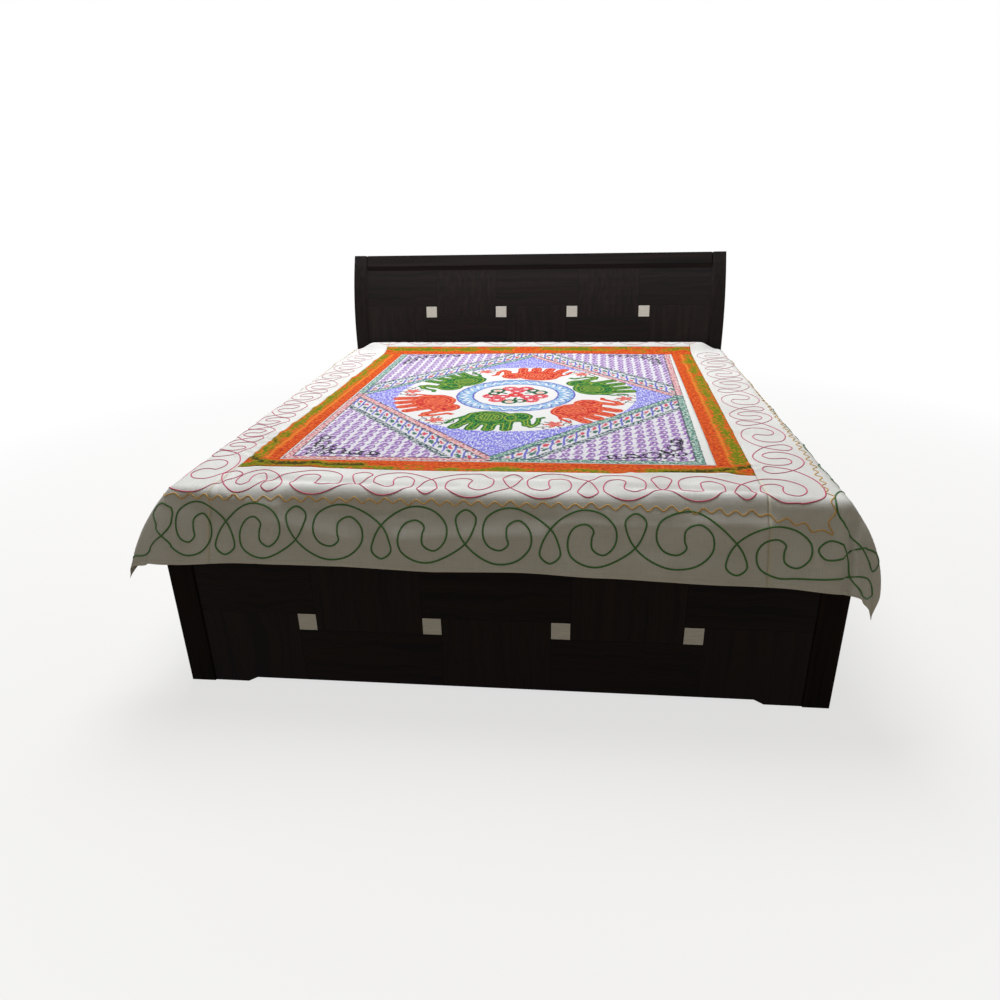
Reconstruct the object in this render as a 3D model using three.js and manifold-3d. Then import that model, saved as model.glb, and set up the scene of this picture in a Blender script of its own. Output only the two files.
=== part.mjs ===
// An embroidered bed sheet lying over a king-size bed with a curved dark headboard.
// Millimetres. X runs across the bed, Y from the foot to the head and Z up from the floor; the
// origin is on the floor under the middle of the whole object.

import * as THREE from "three";
import { mergeVertices } from "three/addons/utils/BufferGeometryUtils.js";
import Module from "manifold-3d";

const wasm = await Module();
wasm.setup();

const seatGap = 0.3; // between pieces that touch

// ---- driving sizes -------------------------------------------------------------------------

const frame = { width: 1840, footFace: -1050, deckTop: 393, deckThickness: 18, clearOfFloor: 15 };

const footboard = {
  top: 415,
  pilasterWidth: 72,
  pilasterDepth: 44,
  panelRecess: 4,
  panelDepth: 36,
  footInner: 746, // the flat feet end here and slope up to the clear height
  slopeEnd: 717,
  edge: 2, // chamfer
};

// The headboard stands straight and then leans back on an arc.
const headboard = {
  halfWidth: 915,
  face: 935,
  straightTop: 630,
  top: 1033,
  arcRadius: 823,
  stileWidth: 68,
  depth: 40,
  railHeight: 75,
  railSlope: 20,
  stileSlope: 12,
  panelRecess: 9,
  panelDepth: 18,
  panelLow: 250,
  edge: 2, // chamfer
};

const inlay = {
  side: 52,
  thickness: 3.7,
  pocketDepth: 3,
  count: 4,
  foot: { z: 217, spacing: 358, centreX: 0 },
  head: { z: 769, spacing: 351, centreX: 6 },
};

const sideBoard = { outer: 912, thickness: 22, top: 388, cleat: 30 };

const deckBoards = 3;
const dividerThickness = 24;

const mattress = {
  width: 1829,
  length: 1905,
  height: 200,
  edgeRadius: 45,
  cornerRadius: 12,
  footFace: -990,
  centreX: -4,
};

// The sheet is sewn from a printed panel, four border strips and four white widths.
const sheet = {
  thickness: 1.5,
  borderWidth: 1486, // outside of the border strips
  borderLength: 1669,
  sideStrip: 95,
  footStrip: 80,
  headStrip: 88,
  leftMargin: 328, // white cloth beyond the border
  rightMargin: 417,
  headMargin: 255, // its hem ends just above the deck
  centreX: -14.5, // where the middle of the border lies on the bed
  centreY: 13.3,
  skew: 0.028, // the sheet lies a little askew: sideways shift per millimetre towards the head
  bendRadius: 34, // over the mattress edges
};

// The bent line round the mattress top: inside it the sheet lies flat, outside it falls.
const rest = { left: -895, right: 887, foot: -964, head: 888 };
const topMiddle = frame.deckTop + seatGap + mattress.height + seatGap + sheet.thickness / 2;

// How the drop hangs at the foot, by place across the bed. fall is the flat cloth from the bent
// line to the hem, tilt is degrees out from vertical.
const footRows = [
  { at: -895, fall: 228, tilt: 23 },
  { at: -700, fall: 218, tilt: 23 },
  { at: -450, fall: 219, tilt: 22 },
  { at: -170, fall: 226, tilt: 21.5 },
  { at: 70, fall: 221, tilt: 24.5 },
  { at: 280, fall: 230, tilt: 21.5 },
  { at: 610, fall: 239, tilt: 22 },
  { at: 720, fall: 240, tilt: 22 },
  { at: 887, fall: 252, tilt: 23 },
];

// The side drops, by place along the bed. droop is how much of the tilt is lost by the hem.
const leftRows = [
  { at: -964, tilt: 22, droop: 6 },
  { at: -850, tilt: 15, droop: 0 },
  { at: -700, tilt: 10, droop: 0 },
  { at: -450, tilt: 17, droop: 4 },
  { at: -100, tilt: 9, droop: 0 },
  { at: 250, tilt: 15, droop: 3 },
  { at: 600, tilt: 10, droop: 0 },
  { at: 888, tilt: 12, droop: 0 },
];
const rightRows = [
  { at: -964, tilt: 30, droop: 20 },
  { at: -830, tilt: 20, droop: 10 },
  { at: -650, tilt: 11, droop: 0 },
  { at: -300, tilt: 17, droop: 4 },
  { at: 50, tilt: 10, droop: 0 },
  { at: 450, tilt: 15, droop: 3 },
  { at: 888, tilt: 12, droop: 0 },
];

// The corners hang as folded cones. turn is the angle in the flat cloth from the end drop (0) to
// the side drop (90), bearing is where that line of cloth points in plan, from the end (0) to the
// side (90).
const footLeftFolds = [
  { at: 0, bearing: 0, tilt: 23, droop: 0 },
  { at: 18, bearing: 36, tilt: 33, droop: 10 },
  { at: 34, bearing: 56, tilt: 43, droop: 20 },
  { at: 43.7, bearing: 63, tilt: 46.5, droop: 32 },
  { at: 62, bearing: 78, tilt: 36, droop: 20 },
  { at: 90, bearing: 90, tilt: 22, droop: 6 },
];
const footRightFolds = [
  { at: 0, bearing: 0, tilt: 23, droop: 0 },
  { at: 22, bearing: 22, tilt: 25, droop: 0 },
  { at: 42, bearing: 46, tilt: 35, droop: 32 },
  { at: 54, bearing: 65, tilt: 44, droop: 40 },
  { at: 72, bearing: 80, tilt: 38, droop: 32 },
  { at: 90, bearing: 90, tilt: 30, droop: 20 },
];
const headFolds = [
  { at: 0, bearing: 0, tilt: 0.5, droop: 0 },
  { at: 14, bearing: 35, tilt: 2, droop: 0 },
  { at: 28, bearing: 70, tilt: 6, droop: 0 },
  { at: 44, bearing: 84, tilt: 14, droop: 4 },
  { at: 60, bearing: 88, tilt: 20, droop: 8 },
  { at: 76, bearing: 92, tilt: 14, droop: 4 },
  { at: 90, bearing: 90, tilt: 12, droop: 0 },
];

// Broad soft swells where the sheet stands off the mattress: middle, half lengths along and
// across the swell, direction in degrees and height.
const swells = [
  { x: -560, y: -840, long: 420, wide: 60, turn: -8, height: 4 },
  { x: 420, y: -860, long: 380, wide: 55, turn: 5, height: 5 },
  { x: -745, y: -420, long: 330, wide: 60, turn: 78, height: 4 },
  { x: 700, y: -120, long: 420, wide: 60, turn: 86, height: 4 },
  { x: -120, y: 260, long: 520, wide: 90, turn: 18, height: 3 },
  { x: 260, y: -380, long: 460, wide: 80, turn: -24, height: 3 },
  { x: 60, y: 770, long: 640, wide: 90, turn: 1, height: 6 },
];

// The soft ridge the sheet makes along the mattress's head edge, fading out at its corners.
const headRidge = { height: 33, wide: 78, cornerReach: 120 };

// ---- the shape of the lying sheet ----------------------------------------------------------

const degree = Math.PI / 180;

// Nothing at 0 and full at 1, level at both ends.
function soften(share) {
  const clamped = Math.min(Math.max(share, 0), 1);
  return clamped * clamped * (3 - 2 * clamped);
}

// A value read from a table's column, eased from row to row.
function ease(rows, at, column) {
  const last = rows.length - 1;
  const place = Math.min(Math.max(at, rows[0].at), rows[last].at);
  let row = 0;
  while (row < last - 1 && place > rows[row + 1].at) row += 1;
  const eased = soften((place - rows[row].at) / (rows[row + 1].at - rows[row].at));
  return rows[row][column] + (rows[row + 1][column] - rows[row][column]) * eased;
}

// Where one line of cloth is after a flat length: out from the bent line and down from the top.
function lineOfCloth(length, fall, tilt, droop) {
  const radius = sheet.bendRadius;
  const start = tilt * degree;
  const bend = radius * (Math.PI / 2 - start);
  if (length < bend) {
    return { out: radius * Math.sin(length / radius), down: radius * (1 - Math.cos(length / radius)) };
  }
  const straight = length - bend;
  const out = radius * Math.cos(start);
  const down = radius * (1 - Math.sin(start));
  if (droop === 0) {
    return { out: out + straight * Math.sin(start), down: down + straight * Math.cos(start) };
  }
  const curl = (droop * degree) / (fall - bend);
  const now = start - curl * straight;
  return {
    out: out + (Math.cos(now) - Math.cos(start)) / curl,
    down: down + (Math.sin(start) - Math.sin(now)) / curl,
  };
}

// Sideways shift of the sheet's own lines at a place along the bed.
const shift = (y) => sheet.centreX + sheet.skew * (y - sheet.centreY);

function sideFall(y, side) {
  const leftHem = shift(y) - sheet.borderWidth / 2 - sheet.leftMargin;
  const rightHem = shift(y) + sheet.borderWidth / 2 + sheet.rightMargin;
  return side < 0 ? rest.left - leftHem : rightHem - rest.right;
}

const headFall = sheet.centreY + sheet.borderLength / 2 + sheet.headMargin - rest.head;

function ridge(x, y) {
  const across = Math.max(rest.head - y, 0) / headRidge.wide;
  const fromCorner = Math.min(x - rest.left, rest.right - x) / headRidge.cornerReach;
  return headRidge.height * soften(fromCorner) * Math.exp(-2 * across * across);
}

function lift(x, y) {
  const fadeWidth = 70;
  const inside = Math.min(x - rest.left, rest.right - x, y - rest.foot, rest.head - y);
  let height = 0;
  for (const swell of swells) {
    const c = Math.cos(swell.turn * degree);
    const s = Math.sin(swell.turn * degree);
    const along = ((x - swell.x) * c + (y - swell.y) * s) / swell.long;
    const across = ((y - swell.y) * c - (x - swell.x) * s) / swell.wide;
    height += swell.height * Math.exp(-2 * (along * along + across * across));
  }
  return height * soften(inside / fadeWidth) + ridge(x, y);
}

// A corner's facts: its bent-line point, which way is out, its folds and its two falls.
function corner(side, end) {
  const x = side < 0 ? rest.left : rest.right;
  const y = end < 0 ? rest.foot : rest.head;
  const footFolds = side < 0 ? footLeftFolds : footRightFolds;
  return {
    x,
    y,
    side,
    end,
    folds: end < 0 ? footFolds : headFolds,
    endFall: end < 0 ? ease(footRows, x, "fall") : headFall,
    sideFall: sideFall(y, side),
  };
}

function cornerFall(place, turn) {
  const byEnd = place.endFall / Math.max(Math.cos(turn * degree), 1e-6);
  const bySide = place.sideFall / Math.max(Math.sin(turn * degree), 1e-6);
  return Math.min(byEnd, bySide);
}

// The middle of the cloth, from a point laid out flat in the bed's plan to where it hangs.
function drape(x, y) {
  const side = x < (rest.left + rest.right) / 2 ? -1 : 1;
  const end = y < 0 ? -1 : 1;
  const overSide = side < 0 ? rest.left - x : x - rest.right;
  const overEnd = end < 0 ? rest.foot - y : y - rest.head;
  if (overSide <= 0 && overEnd <= 0) return new THREE.Vector3(x, y, topMiddle + lift(x, y));
  if (overSide <= 0) {
    const fall = end < 0 ? ease(footRows, x, "fall") : headFall;
    const tilt = end < 0 ? ease(footRows, x, "tilt") : headFolds[0].tilt;
    const line = lineOfCloth(overEnd, fall, tilt, 0);
    const edge = end < 0 ? rest.foot : rest.head;
    return new THREE.Vector3(x, edge + end * line.out, topMiddle + ridge(x, y) - line.down);
  }
  if (overEnd <= 0) {
    const rows = side < 0 ? leftRows : rightRows;
    const line = lineOfCloth(overSide, sideFall(y, side), ease(rows, y, "tilt"), ease(rows, y, "droop"));
    return new THREE.Vector3((side < 0 ? rest.left : rest.right) + side * line.out, y, topMiddle - line.down);
  }
  const place = corner(side, end);
  const turn = Math.atan2(overSide, overEnd) / degree;
  const tilt = ease(place.folds, turn, "tilt");
  const droop = ease(place.folds, turn, "droop");
  const bearing = ease(place.folds, turn, "bearing") * degree;
  const line = lineOfCloth(Math.hypot(overSide, overEnd), cornerFall(place, turn), tilt, droop);
  return new THREE.Vector3(
    place.x + side * line.out * Math.sin(bearing),
    place.y + end * line.out * Math.cos(bearing),
    topMiddle - line.down,
  );
}

// ---- cloth pieces --------------------------------------------------------------------------

const dropShares = [0, 0.045, 0.09, 0.135, 0.18, 0.38, 0.68, 1];

// The sheet's seams, flat: how far each lies from the middle of the border.
const seam = {
  left: -sheet.borderWidth / 2,
  leftInner: -sheet.borderWidth / 2 + sheet.sideStrip,
  rightInner: sheet.borderWidth / 2 - sheet.sideStrip,
  right: sheet.borderWidth / 2,
  foot: sheet.centreY - sheet.borderLength / 2,
  footInner: sheet.centreY - sheet.borderLength / 2 + sheet.footStrip,
  headInner: sheet.centreY + sheet.borderLength / 2 - sheet.headStrip,
  head: sheet.centreY + sheet.borderLength / 2,
};

// The places from one value to another in equal steps.
function steps(from, to, count) {
  return Array.from({ length: count + 1 }, (_, i) => from + ((to - from) * i) / count);
}

// Each piece stops half a gap short of its seams.
const setBack = seatGap / 2;

// A cloth surface is gathered as quads whose corners are flat places on the bed's plan.
function quads(grid) {
  const list = [];
  for (let row = 0; row + 1 < grid.length; row += 1) {
    for (let column = 0; column + 1 < grid[row].length; column += 1) {
      list.push([
        grid[row][column],
        grid[row][column + 1],
        grid[row + 1][column + 1],
        grid[row + 1][column],
      ]);
    }
  }
  return list;
}

// Between two lines across the bed, each a function of the place along it.
function topGrid(leftLine, rightLine, columns, rows) {
  return rows.map((y) => steps(leftLine(y), rightLine(y), columns).map((x) => [x, y]));
}

const restLeft = () => rest.left;
const restRight = () => rest.right;
const seamLine = (offset, inset) => (y) => shift(y) + offset + inset;

const footRowsY = steps(rest.foot, seam.foot, 3);
const panelRowsY = steps(seam.footInner, seam.headInner, 12);
const headStripRowsY = steps(seam.headInner, seam.head, 2);
const headRowsY = steps(seam.head, rest.head, 2);
const sideRowsY = [...footRowsY, ...panelRowsY, ...headStripRowsY.slice(1), ...headRowsY.slice(1)];

// The drop at the foot or the head under a list of places across the bed.
function endDrop(places, end) {
  const edge = end < 0 ? rest.foot : rest.head;
  return dropShares.map((share) =>
    places.map((x) => [x, edge + end * share * (end < 0 ? ease(footRows, x, "fall") : headFall)]),
  );
}

function sideDrop(rows, side) {
  const edge = side < 0 ? rest.left : rest.right;
  return rows.map((y) => dropShares.map((share) => [edge + side * share * sideFall(y, side), y]));
}

// Lines of cloth from a corner to its two hems, with one to the very corner of the sheet.
function cornerFan(side, end) {
  const place = corner(side, end);
  const tip = Math.atan2(place.sideFall, place.endFall) / degree;
  const finest = 7;
  const toTip = steps(0, tip, Math.ceil(tip / finest));
  const fromTip = steps(tip, 90, Math.ceil((90 - tip) / finest));
  return [...toTip, ...fromTip.slice(1)].map((turn) =>
    dropShares.map((share) => {
      const length = share * cornerFall(place, turn);
      return [
        place.x + side * length * Math.sin(turn * degree),
        place.y + end * length * Math.cos(turn * degree),
      ];
    }),
  );
}

// The unit normal of the lying cloth at a flat place, upwards or outwards.
function clothNormal(x, y) {
  const reach = 1.5;
  const alongX = drape(x + reach, y).sub(drape(x - reach, y));
  const alongY = drape(x, y + reach).sub(drape(x, y - reach));
  return alongX.cross(alongY).normalize();
}

// Turns quads on the flat plan into a closed thin solid lying on the bed.
function clothGeometry(list) {
  const index = new Map();
  const flat = [];
  const place = ([x, y]) => {
    const key = `${x.toFixed(3)},${y.toFixed(3)}`;
    if (!index.has(key)) {
      index.set(key, flat.length);
      flat.push([x, y]);
    }
    return index.get(key);
  };
  const triangles = [];
  for (const quad of list) {
    const [a, b, c, d] = quad.map(place);
    for (const triangle of [[a, b, c], [a, c, d]]) {
      if (new Set(triangle).size < 3) continue;
      const [p, q, r] = triangle.map((i) => flat[i]);
      const area = (q[0] - p[0]) * (r[1] - p[1]) - (q[1] - p[1]) * (r[0] - p[0]);
      triangles.push(area > 0 ? triangle : [triangle[0], triangle[2], triangle[1]]);
    }
  }
  const positions = [];
  for (const side of [1, -1]) {
    for (const [x, y] of flat) {
      const point = drape(x, y).addScaledVector(clothNormal(x, y), (side * sheet.thickness) / 2);
      positions.push(point.x, point.y, point.z);
    }
  }
  const under = flat.length;
  const faces = [];
  const edges = new Map();
  for (const [a, b, c] of triangles) {
    faces.push(a, b, c, under + a, under + c, under + b);
    for (const [from, to] of [[a, b], [b, c], [c, a]]) {
      if (edges.has(`${to},${from}`)) edges.delete(`${to},${from}`);
      else edges.set(`${from},${to}`, [from, to]);
    }
  }
  for (const [from, to] of edges.values()) {
    faces.push(from, under + from, to, to, under + from, under + to);
  }
  const geometry = new THREE.BufferGeometry();
  geometry.setAttribute("position", new THREE.Float32BufferAttribute(positions, 3));
  geometry.setIndex(faces);
  return geometry;
}

// ---- wood, metal and mattress ---------------------------------------------------------------

function toManifold(geometry) {
  const bare = geometry.clone();
  bare.deleteAttribute("normal");
  bare.deleteAttribute("uv");
  const merged = mergeVertices(bare, 1e-4);
  return new wasm.Manifold(
    new wasm.Mesh({
      numProp: 3,
      vertProperties: new Float32Array(merged.attributes.position.array),
      triVerts: new Uint32Array(merged.index.array),
    }),
  );
}

function fromManifold(solid) {
  const mesh = solid.getMesh();
  const geometry = new THREE.BufferGeometry();
  geometry.setAttribute("position", new THREE.BufferAttribute(new Float32Array(mesh.vertProperties), 3));
  geometry.setIndex(new THREE.BufferAttribute(new Uint32Array(mesh.triVerts), 1));
  return geometry;
}

function cut(geometry, tools) {
  let solid = toManifold(geometry);
  for (const tool of tools) solid = solid.subtract(toManifold(tool));
  return fromManifold(solid);
}

// An outline drawn in one plane and given a depth along X, with small chamfers.
function extrudeAlongX(outline, from, to, chamfer) {
  const shape = new THREE.Shape(outline.map(([y, z]) => new THREE.Vector2(y, z)));
  const geometry = new THREE.ExtrudeGeometry(shape, {
    depth: to - from - 2 * chamfer,
    bevelEnabled: chamfer > 0,
    bevelThickness: chamfer,
    bevelSize: chamfer,
    bevelOffset: -chamfer,
    bevelSegments: 1,
    steps: 1,
  });
  const turn = new THREE.Matrix4().makeBasis(
    new THREE.Vector3(0, 1, 0),
    new THREE.Vector3(0, 0, 1),
    new THREE.Vector3(1, 0, 0),
  );
  return geometry.applyMatrix4(turn).translate(from + chamfer, 0, 0);
}

// An outline seen from the foot, X across and Z up, given a depth along Y.
function extrudeAlongY(outline, from, to, chamfer) {
  const shape = new THREE.Shape(outline.map(([x, z]) => new THREE.Vector2(x, z)));
  const geometry = new THREE.ExtrudeGeometry(shape, {
    depth: to - from - 2 * chamfer,
    bevelEnabled: chamfer > 0,
    bevelThickness: chamfer,
    bevelSize: chamfer,
    bevelOffset: -chamfer,
    bevelSegments: 1,
    steps: 1,
  });
  return geometry.rotateX(Math.PI / 2).translate(0, to - chamfer, 0);
}

const rectangle = (left, right, low, high) => [
  [left, low],
  [right, low],
  [right, high],
  [left, high],
];

function mattressGeometry() {
  const edge = mattress.edgeRadius;
  const round = mattress.cornerRadius;
  const x = mattress.width / 2 - edge - round;
  const y = mattress.length / 2 - edge - round;
  const shape = new THREE.Shape();
  shape.absarc(x, -y, round, -Math.PI / 2, 0);
  shape.absarc(x, y, round, 0, Math.PI / 2);
  shape.absarc(-x, y, round, Math.PI / 2, Math.PI);
  shape.absarc(-x, -y, round, Math.PI, 1.5 * Math.PI);
  const geometry = new THREE.ExtrudeGeometry(shape, {
    depth: mattress.height - 2 * edge,
    bevelThickness: edge,
    bevelSize: edge,
    bevelSegments: 4,
    curveSegments: 3,
    steps: 1,
  });
  const z = frame.deckTop + seatGap + edge;
  return geometry.translate(mattress.centreX, mattress.footFace + mattress.length / 2, z);
}

// A point of the headboard's curved face, by height up to the bend and by angle above it, with
// its depth behind the face.
function headboardPoint(height, angle, depth) {
  const radius = headboard.arcRadius;
  return [
    headboard.face + radius * (1 - Math.cos(angle)) + depth * Math.cos(angle),
    height + radius * Math.sin(angle) - depth * Math.sin(angle),
  ];
}

const headTopAngle = Math.asin((headboard.top - headboard.straightTop) / headboard.arcRadius);
const railLowAngle = headTopAngle - headboard.railHeight / headboard.arcRadius;

// A closed solid whose cross-section, given across and behind the face, follows the curve.
function curvedBoard(section, low, topAngle, bends) {
  const stations = [[low, 0], ...steps(0, topAngle, bends).map((angle) => [headboard.straightTop, angle])];
  const count = section.length;
  const positions = [];
  for (const [height, angle] of stations) {
    for (const [x, depth] of section) {
      const [y, z] = headboardPoint(height, angle, depth);
      positions.push(x, y, z);
    }
  }
  const faces = [];
  const vertexAt = (station, i) => station * count + (i % count);
  for (let station = 0; station + 1 < stations.length; station += 1) {
    for (let i = 0; i < count; i += 1) {
      const [a, b] = [vertexAt(station, i), vertexAt(station, i + 1)];
      const [c, d] = [vertexAt(station + 1, i + 1), vertexAt(station + 1, i)];
      faces.push(a, b, c, a, c, d);
    }
  }
  const caps = THREE.ShapeUtils.triangulateShape(section.map(([x, d]) => new THREE.Vector2(x, d)), []);
  const last = (stations.length - 1) * count;
  for (const [a, b, c] of caps) faces.push(a, c, b, last + a, last + b, last + c);
  const geometry = new THREE.BufferGeometry();
  geometry.setAttribute("position", new THREE.Float32BufferAttribute(positions, 3));
  geometry.setIndex(faces);
  return geometry;
}

const arcBends = 8;

function stileGeometry(side) {
  const outer = headboard.halfWidth;
  const inner = outer - headboard.stileWidth;
  const chamfer = headboard.edge;
  const section = [
    [inner, headboard.panelRecess],
    [inner + headboard.stileSlope, 0],
    [outer - chamfer, 0],
    [outer, chamfer],
    [outer, headboard.depth],
    [inner, headboard.depth],
  ];
  const placed = side > 0 ? section : section.map(([x, d]) => [-x, d]).reverse();
  return curvedBoard(placed, 0, headTopAngle, arcBends);
}

const panelHalfWidth = headboard.halfWidth - headboard.stileWidth - seatGap;

function railGeometry() {
  const slope = headboard.railSlope / headboard.arcRadius;
  const chamfer = headboard.edge;
  const at = (angle, depth) => headboardPoint(headboard.straightTop, angle, depth);
  const outline = [
    at(railLowAngle, headboard.panelRecess),
    at(railLowAngle, headboard.depth),
    at(headTopAngle, headboard.depth),
    at(headTopAngle, chamfer),
    at(headTopAngle - chamfer / headboard.arcRadius, 0),
    at(railLowAngle + slope, 0),
  ];
  return extrudeAlongX(outline, -panelHalfWidth, panelHalfWidth, 0);
}

// The inlays' places across a board.
function inlayPlaces(row) {
  const half = ((inlay.count - 1) * row.spacing) / 2;
  return steps(row.centreX - half, row.centreX + half, inlay.count - 1);
}

const inlayAngle = Math.asin((inlay.head.z - headboard.straightTop) / headboard.arcRadius);

const pocketOverrun = 4; // a pocket's cutter starts this far in front of the face

function headPanelGeometry() {
  const [front, rear] = [headboard.panelRecess, headboard.panelRecess + headboard.panelDepth];
  const section = [
    [-panelHalfWidth, front],
    [panelHalfWidth, front],
    [panelHalfWidth, rear],
    [-panelHalfWidth, rear],
  ];
  const topAngle = railLowAngle - seatGap / headboard.arcRadius;
  const reach = inlay.pocketDepth + pocketOverrun;
  const side = inlay.side + 2 * seatGap;
  const [y, z] = headboardPoint(headboard.straightTop, inlayAngle, front + inlay.pocketDepth - reach / 2);
  const pockets = inlayPlaces(inlay.head).map((x) =>
    new THREE.BoxGeometry(side, reach, side).rotateX(-inlayAngle).translate(x, y, z),
  );
  return cut(curvedBoard(section, headboard.panelLow, topAngle, arcBends), pockets);
}

function footPanelGeometry() {
  const half = frame.width / 2 - footboard.pilasterWidth - seatGap;
  const { footInner, slopeEnd, top } = footboard;
  const clear = frame.clearOfFloor;
  const outline = [
    [-half, 0],
    [-footInner, 0],
    [-slopeEnd, clear],
    [slopeEnd, clear],
    [footInner, 0],
    [half, 0],
    [half, top],
    [-half, top],
  ];
  const face = frame.footFace + footboard.panelRecess;
  const reach = inlay.pocketDepth + pocketOverrun;
  const pocketSide = inlay.side + 2 * seatGap;
  const y = face + inlay.pocketDepth - reach / 2;
  const pockets = inlayPlaces(inlay.foot).map((x) =>
    new THREE.BoxGeometry(pocketSide, reach, pocketSide).translate(x, y, inlay.foot.z),
  );
  return cut(extrudeAlongY(outline, face, face + footboard.panelDepth, footboard.edge), pockets);
}

// ---- putting the bed together ---------------------------------------------------------------

const darkWood = new THREE.MeshStandardMaterial({ color: 0x1c1512, roughness: 0.45, metalness: 0 });
const bareWood = new THREE.MeshStandardMaterial({ color: 0xb89a72, roughness: 0.7, metalness: 0 });
const steel = new THREE.MeshStandardMaterial({ color: 0xb9b4a6, roughness: 0.35, metalness: 1 });
const foam = new THREE.MeshStandardMaterial({ color: 0xe8e6e0, roughness: 0.9, metalness: 0 });
const whiteCotton = new THREE.MeshStandardMaterial({ color: 0xe4e8e6, roughness: 0.85, metalness: 0 });
const printedCotton = new THREE.MeshStandardMaterial({ color: 0xcfc8e4, roughness: 0.85, metalness: 0 });
const orangeCotton = new THREE.MeshStandardMaterial({ color: 0xd9622b, roughness: 0.8, metalness: 0 });

function place(group, name, geometry, material, x = 0, y = 0, z = 0) {
  const mesh = new THREE.Mesh(geometry, material);
  mesh.name = name;
  mesh.position.set(x, y, z);
  group.add(mesh);
  return mesh;
}

const sideName = (side) => (side < 0 ? "left" : "right");

// The boards between the footboard and the headboard, and the deck they carry.
function bedBase() {
  const group = new THREE.Group();
  const boardFoot = frame.footFace + footboard.pilasterDepth + seatGap;
  const boardHead = headboard.face - seatGap;
  const middle = (boardFoot + boardHead) / 2;
  const length = boardHead - boardFoot;
  const deckLow = frame.deckTop - frame.deckThickness;
  const inner = sideBoard.outer - sideBoard.thickness;

  for (const side of [-1, 1]) {
    const height = sideBoard.top - frame.clearOfFloor;
    const board = new THREE.BoxGeometry(sideBoard.thickness, length, height);
    const boardX = side * (sideBoard.outer - sideBoard.thickness / 2);
    const boardZ = frame.clearOfFloor + height / 2;
    place(group, `side_board_${sideName(side)}`, board, darkWood, boardX, middle, boardZ);

    const cleat = new THREE.BoxGeometry(sideBoard.cleat, length, sideBoard.cleat);
    const cleatX = side * (inner - seatGap - sideBoard.cleat / 2);
    const cleatZ = deckLow - seatGap - sideBoard.cleat / 2;
    place(group, `cleat_${sideName(side)}`, cleat, bareWood, cleatX, middle, cleatZ);
  }

  const dividerTop = deckLow - seatGap;
  const divider = new THREE.BoxGeometry(dividerThickness, length, dividerTop);
  place(group, "deck_divider", divider, bareWood, 0, middle, dividerTop / 2);

  const boardLength = (length - seatGap * (deckBoards - 1)) / deckBoards;
  for (let i = 0; i < deckBoards; i += 1) {
    const board = new THREE.BoxGeometry(2 * (inner - seatGap), boardLength, frame.deckThickness);
    const y = boardFoot + boardLength / 2 + i * (boardLength + seatGap);
    place(group, `deck_board_${i + 1}`, board, bareWood, 0, y, frame.deckTop - frame.deckThickness / 2);
  }
  return group;
}

function inlayGeometry() {
  return new THREE.BoxGeometry(inlay.side, inlay.thickness, inlay.side);
}

// How far behind a board's face the middle of an inlay lies.
const inlayDepth = inlay.pocketDepth - seatGap - inlay.thickness / 2;

function footboardGroup() {
  const group = new THREE.Group();
  place(group, "footboard_panel", footPanelGeometry(), darkWood);
  const half = footboard.pilasterWidth / 2;
  const outline = rectangle(-half, half, 0, footboard.top);
  for (const side of [-1, 1]) {
    const pilaster = extrudeAlongY(outline, 0, footboard.pilasterDepth, footboard.edge);
    const x = side * (frame.width / 2 - half);
    place(group, `footboard_pilaster_${sideName(side)}`, pilaster, darkWood, x, frame.footFace);
  }
  const y = frame.footFace + footboard.panelRecess + inlayDepth;
  inlayPlaces(inlay.foot).forEach((x, i) => {
    place(group, `footboard_inlay_${i + 1}`, inlayGeometry(), steel, x, y, inlay.foot.z);
  });
  return group;
}

function headboardGroup() {
  const group = new THREE.Group();
  place(group, "headboard_panel", headPanelGeometry(), darkWood);
  place(group, "headboard_rail", railGeometry(), darkWood);
  for (const side of [-1, 1]) {
    place(group, `headboard_stile_${sideName(side)}`, stileGeometry(side), darkWood);
  }
  const depth = headboard.panelRecess + inlayDepth;
  const [y, z] = headboardPoint(headboard.straightTop, inlayAngle, depth);
  inlayPlaces(inlay.head).forEach((x, i) => {
    const mesh = place(group, `headboard_inlay_${i + 1}`, inlayGeometry(), steel, x, y, z);
    mesh.rotation.x = -inlayAngle;
  });
  return group;
}

// A long white width: its strip of the top, its side drop, both corners and its ends' drops.
function sideWidth(side) {
  const columns = 2;
  const seamAt = seamLine(side < 0 ? seam.left : seam.right, side * setBack);
  const [left, right] = side < 0 ? [restLeft, seamAt] : [seamAt, restRight];
  const top = topGrid(left, right, columns, sideRowsY);
  const footPlaces = top[0].map(([x]) => x);
  const headPlaces = top[top.length - 1].map(([x]) => x);
  return [
    ...quads(top),
    ...quads(sideDrop(sideRowsY, side)),
    ...quads(endDrop(footPlaces, -1)),
    ...quads(endDrop(headPlaces, 1)),
    ...quads(cornerFan(side, -1)),
    ...quads(cornerFan(side, 1)),
  ];
}

const middleColumns = 12;

// A white width between the long seams, with its drop at the foot or the head.
function endWidth(end) {
  const rows =
    end < 0 ? [...footRowsY.slice(0, -1), seam.foot - setBack] : [seam.head + setBack, ...headRowsY.slice(1)];
  const top = topGrid(seamLine(seam.left, setBack), seamLine(seam.right, -setBack), middleColumns, rows);
  const places = (end < 0 ? top[0] : top[top.length - 1]).map(([x]) => x);
  return [...quads(top), ...quads(endDrop(places, end))];
}

function topPiece(leftLine, rightLine, columns, rows) {
  return quads(topGrid(leftLine, rightLine, columns, rows));
}

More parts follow.
